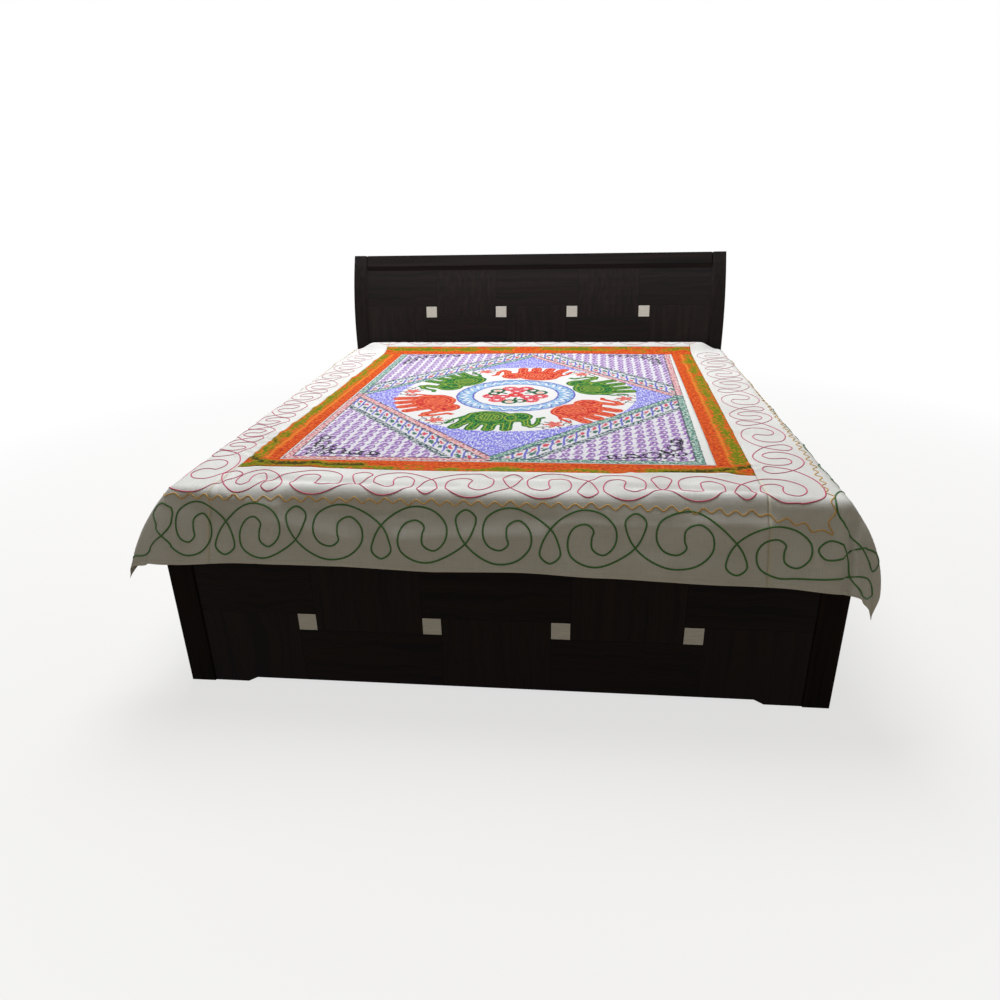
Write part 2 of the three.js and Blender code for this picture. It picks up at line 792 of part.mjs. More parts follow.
function beddingGroup() {
  const group = new THREE.Group();
  place(group, "mattress", mattressGeometry(), foam);
  place(group, "sheet_left_width", clothGeometry(sideWidth(-1)), whiteCotton);
  place(group, "sheet_right_width", clothGeometry(sideWidth(1)), whiteCotton);
  place(group, "sheet_foot_width", clothGeometry(endWidth(-1)), whiteCotton);
  place(group, "sheet_head_width", clothGeometry(endWidth(1)), whiteCotton);

  const outerLeft = seamLine(seam.left, setBack);
  const outerRight = seamLine(seam.right, -setBack);
  const footStripRows = [seam.foot + setBack, seam.footInner - setBack];
  const headStripRows = [seam.headInner + setBack, headStripRowsY[1], seam.head - setBack];
  for (const [end, rows] of [["foot", footStripRows], ["head", headStripRows]]) {
    const strip = topPiece(outerLeft, outerRight, middleColumns, rows);
    place(group, `border_strip_${end}`, clothGeometry(strip), orangeCotton);
  }

  const rows = [seam.footInner + setBack, ...panelRowsY.slice(1, -1), seam.headInner - setBack];
  const leftStrip = topPiece(outerLeft, seamLine(seam.leftInner, -setBack), 1, rows);
  const rightStrip = topPiece(seamLine(seam.rightInner, setBack), outerRight, 1, rows);
  place(group, "border_strip_left", clothGeometry(leftStrip), orangeCotton);
  place(group, "border_strip_right", clothGeometry(rightStrip), orangeCotton);

  const panelLeft = seamLine(seam.leftInner, setBack);
  const panelRight = seamLine(seam.rightInner, -setBack);
  const panel = topPiece(panelLeft, panelRight, middleColumns - 2, rows);
  place(group, "printed_panel", clothGeometry(panel), printedCotton);
  return group;
}

const bed = new THREE.Group();
bed.add(footboardGroup(), headboardGroup(), bedBase(), beddingGroup());

// The cloth hangs out further on the left than on the right, so the bed stands a little off the
// middle of the floor that the whole object covers, which is the origin.
const middleOfFloor = new THREE.Box3().setFromObject(bed).getCenter(new THREE.Vector3());
bed.position.set(-middleOfFloor.x, -middleOfFloor.y, 0);

export default bed;
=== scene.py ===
import math
import bmesh
import bpy
import numpy as np
from mathutils import Matrix, Vector


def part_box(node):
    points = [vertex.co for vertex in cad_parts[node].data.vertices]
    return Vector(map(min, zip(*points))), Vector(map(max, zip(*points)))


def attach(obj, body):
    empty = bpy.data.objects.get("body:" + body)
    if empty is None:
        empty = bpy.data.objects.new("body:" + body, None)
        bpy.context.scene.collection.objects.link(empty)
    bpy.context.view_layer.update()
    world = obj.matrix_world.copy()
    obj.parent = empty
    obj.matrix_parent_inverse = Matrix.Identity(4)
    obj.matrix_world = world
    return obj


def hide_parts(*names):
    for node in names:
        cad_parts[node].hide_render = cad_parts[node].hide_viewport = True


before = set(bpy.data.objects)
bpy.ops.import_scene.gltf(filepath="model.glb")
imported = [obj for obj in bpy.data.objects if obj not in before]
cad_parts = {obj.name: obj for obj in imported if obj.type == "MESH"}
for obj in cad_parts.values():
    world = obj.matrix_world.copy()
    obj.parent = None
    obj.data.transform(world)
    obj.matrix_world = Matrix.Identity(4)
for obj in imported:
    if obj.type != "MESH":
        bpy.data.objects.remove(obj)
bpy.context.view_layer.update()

# The middle of the bed, which everything below is measured from
footboardLow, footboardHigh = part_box("footboard_panel")
halfBed = 1.05  # from the front of the footboard to the middle
bedX = (footboardLow[0] + footboardHigh[0]) / 2
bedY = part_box("footboard_pilaster_left")[0][1] + halfBed

sheet = {
    "thickness": 0.0015,
    "borderWidth": 1.486,
    "borderLength": 1.669,
    "sideStrip": 0.095,
    "footStrip": 0.08,
    "headStrip": 0.088,
    "leftMargin": 0.328,
    "rightMargin": 0.417,
    "headMargin": 0.255,
    "centreX": -0.0145,
    "centreY": 0.0133,
    "skew": 0.028,  # it lies a little askew
    "bendRadius": 0.034,
    "settle": 0.07,  # the swells fade out over this much inside the bent edge
    "gap": 0.00015,  # each piece stops this far short of its seams
    "step": 0.007,
}
rest = {"left": -0.895, "right": 0.887, "foot": -0.964, "head": 0.888, "top": 0.59435}

# How the foot drop hangs: place across the bed, flat length to the hem, degrees out from vertical
footRows = {
    "at": [-0.895, -0.7, -0.45, -0.17, 0.07, 0.28, 0.61, 0.72, 0.887],
    "fall": [0.228, 0.218, 0.219, 0.226, 0.221, 0.23, 0.239, 0.24, 0.252],
    "tilt": [23, 23, 22, 21.5, 24.5, 21.5, 22, 22, 23],
    "droop": [0, 0, 0, 0, 0, 0, 0, 0, 0],
}
leftRows = {
    "at": [-0.964, -0.85, -0.7, -0.45, -0.1, 0.25, 0.6, 0.888],
    "tilt": [22, 15, 10, 17, 9, 15, 10, 12],
    "droop": [6, 0, 0, 4, 0, 3, 0, 0],
}
rightRows = {
    "at": [-0.964, -0.83, -0.65, -0.3, 0.05, 0.45, 0.888],
    "tilt": [30, 20, 11, 17, 10, 15, 12],
    "droop": [20, 10, 0, 4, 0, 3, 0],
}
# Corners, by the angle in the flat cloth from the end drop (0) to the side drop (90)
footLeftFolds = {
    "at": [0, 18, 34, 43.7, 62, 90],
    "bearing": [0, 36, 56, 63, 78, 90],
    "tilt": [23, 33, 43, 46.5, 36, 22],
    "droop": [0, 10, 20, 32, 20, 6],
}
footRightFolds = {
    "at": [0, 22, 42, 54, 72, 90],
    "bearing": [0, 22, 46, 65, 80, 90],
    "tilt": [23, 25, 35, 44, 38, 30],
    "droop": [0, 0, 32, 40, 32, 20],
}
headFolds = {
    "at": [0, 14, 28, 44, 60, 76, 90],
    "bearing": [0, 35, 70, 84, 88, 92, 90],
    "tilt": [0.5, 2, 6, 14, 20, 14, 12],
    "droop": [0, 0, 0, 4, 8, 4, 0],
}
# Broad soft swells: middle, half lengths along and across, degrees turned and height
swells = [
    (-0.56, -0.84, 0.42, 0.06, -8, 0.004),
    (0.42, -0.86, 0.38, 0.055, 5, 0.005),
    (-0.745, -0.42, 0.33, 0.06, 78, 0.004),
    (0.7, -0.12, 0.42, 0.06, 86, 0.004),
    (-0.12, 0.26, 0.52, 0.09, 18, 0.003),
    (0.26, -0.38, 0.46, 0.08, -24, 0.003),
    (0.06, 0.77, 0.64, 0.09, 1, 0.006),
]
headRidge = {"height": 0.033, "wide": 0.078, "cornerReach": 0.085}
tiny = 1e-6


def soften(share):
    share = np.clip(share, 0, 1)
    return share * share * (3 - 2 * share)


# A value read from a table's column, eased from row to row
def ease(table, at, column):
    places = np.array(table["at"])
    values = np.array(table[column])
    row = np.clip(np.searchsorted(places, at) - 1, 0, len(places) - 2)
    share = soften((at - places[row]) / (places[row + 1] - places[row]))
    return values[row] + (values[row + 1] - values[row]) * share


# Where the sheet's own lines lie on the bed
def shift(y):
    y = np.clip(y, rest["foot"], rest["head"])
    return sheet["centreX"] + sheet["skew"] * (y - sheet["centreY"])


def leftHem(y):
    return shift(y) - sheet["borderWidth"] / 2 - sheet["leftMargin"]


def rightHem(y):
    return shift(y) + sheet["borderWidth"] / 2 + sheet["rightMargin"]


def footHem(x):
    return rest["foot"] - ease(footRows, np.clip(x, rest["left"], rest["right"]), "fall")


headHemLine = sheet["centreY"] + sheet["borderLength"] / 2 + sheet["headMargin"]


# Out from the bent edge and down from the top, after a flat length of cloth
def lineOfCloth(length, fall, tilt, droop):
    radius = sheet["bendRadius"]
    start = np.radians(tilt)
    bend = radius * (np.pi / 2 - start)
    around = np.minimum(length, bend) / radius
    straight = np.maximum(length - bend, 0)
    curl = np.maximum(np.radians(droop) / (fall - bend), tiny)
    now = start - curl * straight
    out = radius * np.sin(around) + (np.cos(now) - np.cos(start)) / curl
    down = radius * (1 - np.cos(around)) + (np.sin(start) - np.sin(now)) / curl
    return out, down


def lift(x, y):
    inside = np.minimum.reduce([x - rest["left"], rest["right"] - x, y - rest["foot"], rest["head"] - y])
    height = 0
    for middleX, middleY, long, wide, turn, high in swells:
        c, s = math.cos(math.radians(turn)), math.sin(math.radians(turn))
        along = ((x - middleX) * c + (y - middleY) * s) / long
        across = ((y - middleY) * c - (x - middleX) * s) / wide
        height = height + high * np.exp(-2 * (along**2 + across**2))
    fromHead = (rest["head"] - y) / headRidge["wide"]
    fromCorner = np.minimum(x - rest["left"], rest["right"] - x) / headRidge["cornerReach"]
    ridge = headRidge["height"] * soften(fromCorner) * np.exp(-2 * fromHead**2)
    return height * soften(inside / sheet["settle"]) + ridge


# The middle of the cloth, from a place laid out flat over the bed to where it hangs
def drape(x, y):
    side = np.where(x < (rest["left"] + rest["right"]) / 2, -1, 1)
    end = np.where(y < 0, -1, 1)
    nearX, nearY = np.clip(x, rest["left"], rest["right"]), np.clip(y, rest["foot"], rest["head"])
    overSide, overEnd = np.abs(x - nearX), np.abs(y - nearY)
    length = np.hypot(overSide, overEnd)
    turn = np.degrees(np.arctan2(overSide, overEnd))
    endFall = np.where(end < 0, nearY - footHem(nearX), headHemLine - rest["head"])
    sideFall = np.where(side < 0, rest["left"] - leftHem(nearY), rightHem(nearY) - rest["right"])

    def byPlace(column):
        foot = np.where(side < 0, ease(footLeftFolds, turn, column), ease(footRightFolds, turn, column))
        return np.where(end < 0, foot, ease(headFolds, turn, column))

    def fromRows(column):
        atFoot = np.where(end < 0, ease(footRows, nearX, column), headFolds[column][0])
        atSide = np.where(side < 0, ease(leftRows, nearY, column), ease(rightRows, nearY, column))
        return np.where(overSide <= 0, atFoot, atSide)

    inCorner = (overSide > 0) & (overEnd > 0)
    tilt = np.where(inCorner, byPlace("tilt"), fromRows("tilt"))
    droop = np.where(inCorner, byPlace("droop"), fromRows("droop"))
    bearing = np.radians(np.where(inCorner, byPlace("bearing"), turn))
    radians = np.radians(turn)
    fall = np.minimum(endFall / np.maximum(np.cos(radians), tiny), sideFall / np.maximum(np.sin(radians), tiny))
    out, down = lineOfCloth(length, fall, tilt, droop)
    hanging = [
        nearX + side * out * np.sin(bearing),
        nearY + end * out * np.cos(bearing),
        rest["top"] + lift(nearX, nearY) - down,
    ]
    return np.stack(hanging, axis=-1)


# Small folds drawn in the cloth: from and to on the bed's plan, half width, and height.
# A crease is a valley pinched up between two ridges; a ridge below 0 is a dip
creases = [
    # across the margin at the foot
    (-0.66, -0.912, -0.36, -0.934, 0.023, 0.012),
    (-0.3, -0.945, -0.12, -0.94, 0.02, 0.0075),
    (-0.03, -0.87, 0.26, -0.875, 0.019, 0.0085),
    (0.35, -0.925, 0.68, -0.935, 0.019, 0.0095),
    (-0.785, -0.9, -0.765, -1.0, 0.011, 0.007),
    # along the border strip at the foot
    (-0.72, -0.79, -0.56, -0.788, 0.013, 0.011),
    (-0.56, -0.788, -0.34, -0.784, 0.012, 0.0075),
    (0.38, -0.812, 0.62, -0.798, 0.013, 0.01),
    (0.62, -0.798, 0.72, -0.75, 0.012, 0.008),
    (0.0, -0.775, 0.24, -0.78, 0.011, 0.0045),
    # puckers across the strip on the left and its front corner
    (-0.805, -0.69, -0.72, -0.785, 0.012, 0.009),
    (-0.8, -0.56, -0.735, -0.6, 0.012, 0.0075),
    # along the strip on the right
    (0.64, -0.56, 0.64, -0.06, 0.012, 0.004),
    (0.665, 0.05, 0.68, 0.64, 0.012, 0.004),
]
ridges = [
    # across the margin at the foot
    (-0.57, -0.965, -0.38, -0.958, 0.018, 0.004),
    (0.42, -0.965, 0.72, -0.972, 0.014, 0.004),
    (-0.77, -1.0, -0.6, -1.025, 0.018, 0.006),
    # puckers across the strip on the left and its front corner
    (-0.79, -0.64, -0.71, -0.66, 0.018, 0.005),
    (-0.82, -0.495, -0.74, -0.505, 0.022, 0.005),
    (-0.82, -0.39, -0.76, -0.395, 0.022, 0.0035),
    (-0.815, -0.2, -0.755, -0.19, 0.024, 0.0045),
    (-0.8, -0.04, -0.75, -0.035, 0.022, 0.003),
    (-0.8, 0.26, -0.74, 0.27, 0.032, 0.005),
    (-0.79, 0.6, -0.73, 0.61, 0.032, 0.0045),
    # along the strip on the right
    (0.72, -0.42, 0.78, -0.415, 0.028, 0.003),
    (0.72, 0.18, 0.78, 0.19, 0.034, 0.0035),
    # on the drops
    (0.924, -1.03, 0.924, -1.2, 0.021, -0.015),
    (-0.86, -1.02, -0.6, -1.09, 0.018, -0.005),
    (-0.3, -1.08, -0.16, -1.19, 0.034, 0.006),
    (0.28, -1.1, 0.42, -1.17, 0.03, 0.006),
    (-0.62, -1.09, -0.6, -1.2, 0.03, 0.005),
    (0.7, -1.08, 0.74, -1.2, 0.032, 0.006),
    (-0.5, -1.03, -0.2, -1.035, 0.014, -0.004),
    (0.1, -1.035, 0.5, -1.045, 0.014, -0.004),
    (0.2, -1.046, 0.7, -1.052, 0.03, 0.012),
    (-0.25, -1.104, 0.12, -1.088, 0.03, 0.0085),
    (-0.64, -1.062, -0.4, -1.11, 0.032, 0.0085),
    (0.4, -1.14, 0.62, -1.16, 0.026, 0.006),
    (-0.96, -0.66, -1.1, -0.68, 0.04, 0.007),
    (-0.95, -0.26, -1.1, -0.22, 0.045, 0.006),
    (-0.96, 0.14, -1.1, 0.1, 0.04, 0.007),
    (-0.95, 0.58, -1.1, 0.62, 0.05, 0.006),
    (0.96, -0.52, 1.16, -0.56, 0.045, 0.008),
    (0.95, -0.1, 1.16, -0.04, 0.04, 0.007),
    (0.96, 0.26, 1.16, 0.24, 0.05, 0.007),
    (0.95, 0.66, 1.16, 0.72, 0.045, 0.008),
]


def relief(x, y):
    height = np.zeros(np.broadcast(x, y).shape)
    spread = 4  # how much wider a crease's two ridges are than its valley, squared
    for fold in creases + ridges:
        fromX, fromY, toX, toY, wide, high = fold
        length = math.hypot(toX - fromX, toY - fromY)
        c, s = (toX - fromX) / length, (toY - fromY) / length
        along = (x - fromX) * c + (y - fromY) * s
        across = (y - fromY) * c - (x - fromX) * s
        beyond = np.maximum(np.maximum(-along, along - length), 0)
        away = (across**2 + beyond**2) / wide**2
        bump = np.exp(-away)
        height = height + high * (np.exp(-away / spread) - bump if fold in creases else bump)
    return height


# A place on the hanging cloth, raised off its middle, and which way the cloth faces there
def lie(x, y, raised=0):
    reach = 0.0015
    alongX = drape(x + reach, y) - drape(x - reach, y)
    alongY = drape(x, y + reach) - drape(x, y - reach)
    facing = np.cross(alongX, alongY)
    facing /= np.linalg.norm(facing, axis=-1, keepdims=True)
    points = drape(x, y) + facing * (relief(x, y) + raised)[..., None]
    return points + np.array([bedX, bedY, 0]), facing


def flatGrid(name, across, along, reach):
    bm = bmesh.new()
    bmesh.ops.create_grid(bm, x_segments=across, y_segments=along, size=reach)
    mesh = bpy.data.meshes.new(name)
    bm.to_mesh(mesh)
    bm.free()
    return mesh


# Lays a grid over a surface: place gets two arrays of whole numbers and gives points and a flat map
def gridMesh(name, across, along, place):
    mesh = flatGrid(name, across, along, 1)
    corners = np.empty(len(mesh.vertices) * 3)
    mesh.vertices.foreach_get("co", corners)
    corners = corners.reshape(-1, 3)
    i = np.rint((corners[:, 0] + 1) / 2 * across).astype(int)
    j = np.rint((corners[:, 1] + 1) / 2 * along).astype(int)
    points, flat = place(i, j)
    mesh.vertices.foreach_set("co", points.ravel())
    loops = np.empty(len(mesh.loops), dtype=int)
    mesh.loops.foreach_get("vertex_index", loops)
    mesh.uv_layers.new(name="flat").data.foreach_set("uv", flat[loops].ravel())
    mesh.update()
    return mesh


# A piece's lines one way, all as functions, then which zone each grid line is in and how far through it
def stations(lines):
    lines = [line if callable(line) else (lambda at, fixed=line: 0 * at + fixed) for line in lines]
    places = [line(np.array(0.0)) for line in lines]
    zones, shares = [], []
    for zone, width in enumerate(np.diff(places)):
        count = max(2, math.ceil(abs(width) / sheet["step"]))
        zones += [zone] * count
        shares += [i / count for i in range(count)]
    return lines, np.array(zones + [zone]), np.array(shares + [1.0])


# A cloth piece between lines across the bed and lines along it, given in order
def clothMesh(name, acrossLines, alongLines):
    acrossLines, zoneX, shareX = stations(acrossLines)
    alongLines, zoneY, shareY = stations(alongLines)

    def between(lines, zone, share, at):
        low = np.choose(zone, [line(at) for line in lines[:-1]])
        high = np.choose(zone, [line(at) for line in lines[1:]])
        return low + (high - low) * share

    def place(i, j):
        nearY = np.clip(between(alongLines, zoneY[j], shareY[j], np.zeros(len(j))), rest["foot"], rest["head"])
        x = between(acrossLines, zoneX[i], shareX[i], nearY)
        y = between(alongLines, zoneY[j], shareY[j], np.clip(x, rest["left"], rest["right"]))
        points, _ = lie(x, y)
        return points, np.stack([x - shift(y), y - sheet["centreY"]], axis=-1)

    return gridMesh(name, len(zoneX) - 1, len(zoneY) - 1, place)


# Wraps a node's socket, so that shader maths can be written as sums
class Wire:
    def __init__(self, tree, socket=None):
        self.tree = tree
        self.socket = socket

    # Adds a node of a kind; its sockets take numbers, colours or other wires
    def node(self, kind, settings, *inputs, out=0, **named):
        made = self.tree.nodes.new("ShaderNode" + kind)
        for key, value in settings.items():
            setattr(made, key, value)
        values = dict(enumerate(inputs))
        values.update({key.replace("_", " "): value for key, value in named.items()})
        for key, value in values.items():
            socket = made.inputs[key]
            if isinstance(value, Wire):
                self.tree.links.new(value.socket, socket)
            elif value is not None:
                socket.default_value = (*value, 1) if socket.type == "RGBA" else value
        return Wire(self.tree, made.outputs[out])

    def maths(self, operation, *inputs, clamp=False):
        return self.node("Math", {"operation": operation, "use_clamp": clamp}, *inputs)

    def vector(self, operation, *inputs):
        out = 1 if operation in ("LENGTH", "DISTANCE") else 0
        return self.node("VectorMath", {"operation": operation}, *inputs, out=out)

    def parts(self):
        split = self.node("SeparateXYZ", {}, self).socket.node
        return [Wire(self.tree, output) for output in split.outputs]

    def joined(self, *others):
        return self.node("CombineXYZ", {}, self, *others)

    def __add__(self, other):
        return self.maths("ADD", self, other)

    def __radd__(self, other):
        return self.maths("ADD", other, self)

    def __sub__(self, other):
        return self.maths("SUBTRACT", self, other)

    def __rsub__(self, other):
        return self.maths("SUBTRACT", other, self)

    def __mul__(self, other):
        return self.maths("MULTIPLY", self, other)

    def __rmul__(self, other):
        return self.maths("MULTIPLY", other, self)

    def __gt__(self, other):
        return self.maths("GREATER_THAN", self, other)

    def __abs__(self):
        return self.maths("ABSOLUTE", self)


def least(a, *others):
    for other in others:
        a = a.maths("MINIMUM", a, other)
    return a


def most(a, *others):
    for other in others:
        a = a.maths("MAXIMUM", a, other)
    return a


def sine(a):
    return a.maths("SINE", a)


# How far through its cell a value is, from 0 to 1
def cell(a):
    return a.maths("FRACT", a)


# 1 inside a shape, where its distance is below 0, with an edge this soft
def within(distance, soft=0.003):
    return distance.maths("MULTIPLY_ADD", distance, -1 / soft, 0.5, clamp=True)


def mix(base, colour, mask):
    return mask.node("Mix", {"data_type": "RGBA"}, mask, None, None, None, None, None, base, colour, out=2)


# Noise stretched a different amount each way
def noise(p, scale, detail=2.0, stretch=(1, 1, 1), distortion=0.0, out=0):
    if stretch != (1, 1, 1):
        p = p.vector("MULTIPLY", p, stretch)
    return p.node("TexNoise", {}, Vector=p, Scale=scale, Detail=detail, Distortion=distortion, out=out)


# Noise made into patches: 0 below one level, 1 above the other
def patches(value, low, high):
    return value.node("MapRange", {}, value, low, high)


# A material whose painter gets a first wire and gives colour, roughness and a height in metres
def makeMaterial(name, painter, *given, **constants):
    material = bpy.data.materials.new(name)
    material.use_nodes = True
    tree = material.node_tree
    shader = tree.nodes["Principled BSDF"]
    for key, value in constants.items():
        shader.inputs[key.replace("_", " ")].default_value = value
    colour, roughness, height = painter(Wire(tree), *given)
    bump = height.node("Bump", {}, Strength=1.0, Distance=1.0, Height=height)
    for wire, key in [(colour, "Base Color"), (roughness, "Roughness"), (bump, "Normal")]:
        tree.links.new(wire.socket, shader.inputs[key])
    return material


# Where a point lies on the sheet laid flat, in metres from the middle of its border
def flatPlace(start):
    return start.node("UVMap", {"uv_map": "flat"})


def objectPlace(start):
    return start.node("TexCoord", {}, out=3)


cotton = {"threads": 1500, "weave": 0.00009, "roughness": 0.85}


# Plain weave over uneven yarn
def weave(p):
    x, y = p.parts()[:2]
    over = sine(x * (cotton["threads"] * math.pi)) * sine(y * (cotton["threads"] * math.pi))
    slubs = noise(p, 60, 3, (1, 9, 1)) + noise(p, 60, 3, (9, 1, 1))
    return over * cotton["weave"] + slubs * (cotton["weave"] * 4)


whiteCotton = {
    "light": (0.87, 0.89, 0.9),
    "dull": (0.77, 0.775, 0.775),
    "yarn": (0.68, 0.71, 0.69),
    # painted highlight for the hem's rolled edge
    "rolledHighlight": (0.94, 0.94, 0.9),
    "stitch": (0.62, 0.54, 0.38),
    "seam": (0.93, 0.86, 0.64),
    "seamWidth": 0.009,
    "hemWidth": 0.012,
    "stitchWidth": 0.0011,
    "stitches": 300,  # a metre
}


def paintWhite(start):
    p = flatPlace(start)
    u, v = p.parts()[:2]
    white = whiteCotton
    colour = mix(white["light"], white["dull"], patches(noise(p, 8, 4, (1, 0.5, 1)), 0.35, 0.7))
    yarn = noise(p, 1, 3, (25, 420, 1)) + noise(p, 1, 3, (420, 25, 1))
    colour = mix(colour, white["yarn"], patches(yarn, 0.98, 1.2) * 0.45)
    fromHem = start.node("Attribute", {"attribute_name": "hem"}, out=2)
    seam = abs(abs(u) - (sheet["borderWidth"] / 2 + 0.003))
    pastBorder = within(sheet["borderLength"] / 2 - abs(v), 0.004)
    colour = mix(colour, white["seam"], within(seam - white["seamWidth"] / 2, 0.004) * pastBorder * 0.4)
    line = least(abs(fromHem - white["hemWidth"]), seam) - white["stitchWidth"] / 2
    dashes = cell((u + v) * white["stitches"]) > 0.3
    colour = mix(colour, white["stitch"], within(line, 0.001) * dashes * 0.5)
    # A painted highlight on the hem's rolled edge, over its last 3 mm
    colour = mix(colour, white["rolledHighlight"], within(fromHem - 0.003) * 0.7)
    hemFold = within(fromHem - white["hemWidth"], 0.002)
    return colour, cotton["roughness"] + noise(p, 30) * 0.1, weave(p) + hemFold * 0.0004


orangeDye = {
    "orange": (0.7, 0.1, 0.018),
    "warm": (0.84, 0.26, 0.035),
    "red": (0.4, 0.026, 0.01),
    "olive": (0.31, 0.27, 0.008),
    "green": (0.075, 0.19, 0.006),
    # painted shade for the strips' folds
    "fold": (0.03, 0.04, 0.006),
}
oliveFrom = {"left": 0.55, "right": 0.51}  # shares of the side strips' widths
# Shade painted dark along the folds of a strip, with an olive fringe: from and to on the flat sheet, half width
foldShadeStrokes = {
    "foot": [
        (-0.68, -0.806, -0.53, -0.803, 0.016),
        (-0.53, -0.803, -0.38, -0.797, 0.009),
        (-0.728, -0.755, -0.672, -0.808, 0.008),
        (0.5, -0.822, 0.65, -0.81, 0.01),
        (0.65, -0.81, 0.742, -0.763, 0.005),
    ],
    "left": [(-0.745, -0.732, -0.724, -0.756, 0.006), (-0.74, -0.562, -0.715, -0.62, 0.002)],
}


# Tie-dyed strips: olive bleeds in from the outer edge of the side strips and in patches elsewhere
def paintStrip(start, side, inner, width):
    p = flatPlace(start)
    u, v = p.parts()[:2]
    out = {"left": -1 * u, "right": u, "foot": -1 * v, "head": v}[side]
    across = (out - inner) * (1 / width)
    dye = orangeDye
    beside = side in ("left", "right")
    smear = noise(p, 24, 4, (1, 0.45, 1) if beside else (0.45, 1, 1))
    fleck = noise(p, 90, 4)
    colour = mix(dye["orange"], dye["red"], patches(fleck, 0.47, 0.62) * 0.75)
    colour = mix(colour, dye["warm"], patches(fleck, 0.44, 0.34) * 0.6)
    if beside:
        line = within(abs(across - 0.46 + (smear - 0.5) * 0.2) - 0.05, 0.08)
        colour = mix(colour, dye["warm"], most(line, patches(across, 0.94, 0.97)) * 0.8)
        band = least(across - oliveFrom[side], 0.97 - across) * 7 + (smear - 0.5) * 6 + (fleck - 0.5) * 8
    else:
        band = least(across - 0.52, 1.04 - across) * 6 + (smear - 0.53) * 9 + (fleck - 0.5) * 4
    colour = mix(colour, dye["olive"], patches(band, 0, 0.9) * 0.85)
    colour = mix(colour, dye["green"], patches(band + (fleck - 0.5) * 5, 0.8, 1.5) * 0.7)
    # Painted shade along the strips' folds: a dark line with an olive fringe round it
    for fold in foldShadeStrokes.get(side, []):
        fold = stroke(p, *fold) + (fleck - 0.5) * 0.05
        colour = mix(colour, dye["olive"], within(fold - 0.008, 0.012) * 0.8)
        colour = mix(colour, dye["fold"], within(fold, 0.007) * 0.9)
    return colour, cotton["roughness"] + fleck * 0.1, weave(p)


thread = {
    "height": 0.0011,
    "proud": 0.0006,  # its middle above the cloth's face
    "under": 0.35,  # its flat underside, as a share of its height below its middle
    "sides": 6,
    "step": 0.005,
    "link": 0.005,
    "pale": (0.8, 0.77, 0.75),
}


# Chain stitch: a row of links along the line, each with a dip between its two strands, painted darker there as
# shade.
# The thread is painted paler towards the head
def paintThread(start, colour, dark, palerToHead):
    p = flatPlace(start)
    along, around = p.parts()[:2]
    link = cell(along * (1 / thread["link"]))
    dip = patches(link + abs(around - 0.5) * 1.6, 0.95, 0.4)
    # The darker colour is painted as shade in each link's dip and is mixed in at random along the yarn
    paint = mix(colour, dark, dip * 0.6 + noise(p, 900, 2, (1, 0.004, 1)) * 0.3)
    y = objectPlace(start).parts()[1]
    # Painted paler towards the head of the bed
    paint = mix(paint, thread["pale"], patches(y, bedY - 0.9, bedY + 0.9) * palerToHead)
    return paint, 0.5 + noise(p, 500) * 0.2, link * 0.0003 - dip * 0.0004


wood = {
    "dark": (0.0046, 0.0034, 0.0031),
    "grain": (0.0188, 0.0127, 0.011),
    "seam": (0.0015, 0.0012, 0.0012),
    "pore": 0.00015,
    "inlay": 0.052,
}


# Dark open-pored wood
def woodColour(streaks, pores):
    colour = mix(wood["dark"], wood["grain"], patches(streaks, 0.35, 0.75))
    return mix(colour, wood["seam"], patches(pores, 0.6, 0.72) * 0.8)


def paintPost(start, upright):
    p = objectPlace(start)
    stretch, pores = ((60, 60, 2.2), (420, 420, 14)) if upright else ((2.2, 60, 60), (14, 420, 420))
    streaks, pore = noise(p, 1, 4, stretch), noise(p, 1, 2, pores)
    return woodColour(streaks, pore), 0.42 + streaks * 0.2, patches(pore, 0.72, 0.6) * wood["pore"]


# Veneer laid in two rows of tiles whose seams step at each inlay
def paintVeneer(start, middle, height, spacing):
    p = objectPlace(start)
    x, y, z = p.parts()
    x = x - (bedX + middle)
    steps = [((k - 1.5) * spacing, (-1) ** k) for k in range(4)]
    stepAt = height + wood["inlay"] / 2
    for place, sign in steps:
        stepAt = stepAt - (x > place) * (wood["inlay"] * sign)
    upper = z > stepAt
    flip = upper * 2 - 1
    tile = 1 - upper
    seam = abs(z - stepAt)
    for place, sign in steps:
        fromSeam = x - (flip * (sign * wood["inlay"] / 2) + place)
        tile = tile + (fromSeam > 0)
        seam = least(seam, abs(fromSeam))
    upright = tile.maths("MODULO", tile, 2)
    across = p.vector("MULTIPLY", p, (60, 60, 2.0))
    along = p.vector("MULTIPLY", p, (2.0, 60, 60))
    grain = upright.node("Mix", {"data_type": "VECTOR"}, upright, None, None, None, along, across, out=1)
    sway = noise(p, 6, 2) * 3.5
    moved = (tile * 7.3 + sway * upright).joined(tile * 3.1, sway * (1 - upright))
    grain = grain.vector("ADD", grain, moved)
    streaks, pore = noise(grain, 1, 4), noise(grain, 7, 2)
    line = within(seam - 0.0012, 0.0008)
    colour = mix(woodColour(streaks + upright * 0.06, pore), wood["seam"], line)
    roughness = 0.46 + streaks * 0.2 - upright * 0.05
    return colour, roughness, patches(pore, 0.72, 0.6) * wood["pore"] - line * 0.0005


# Brushed metal squares
def paintInlay(start, light, dull):
    brush = noise(objectPlace(start), 1, 3, (30, 30, 1600))
    return mix(light, dull, patches(brush, 0.3, 0.7)), 0.35 + brush * 0.2, brush * 0.00004


def paintBoard(start):
    p = objectPlace(start)
    rings = noise(p, 1, 4, (50, 1.6, 50), 0.6)
    fleck = noise(p, 1, 2, (500, 20, 500))
    colour = mix((0.55, 0.38, 0.22), (0.38, 0.23, 0.12), patches(rings, 0.4, 0.7))
    colour = mix(colour, (0.3, 0.18, 0.09), patches(fleck, 0.6, 0.75) * 0.5)
    return colour, 0.65 + rings * 0.15, fleck * 0.0001


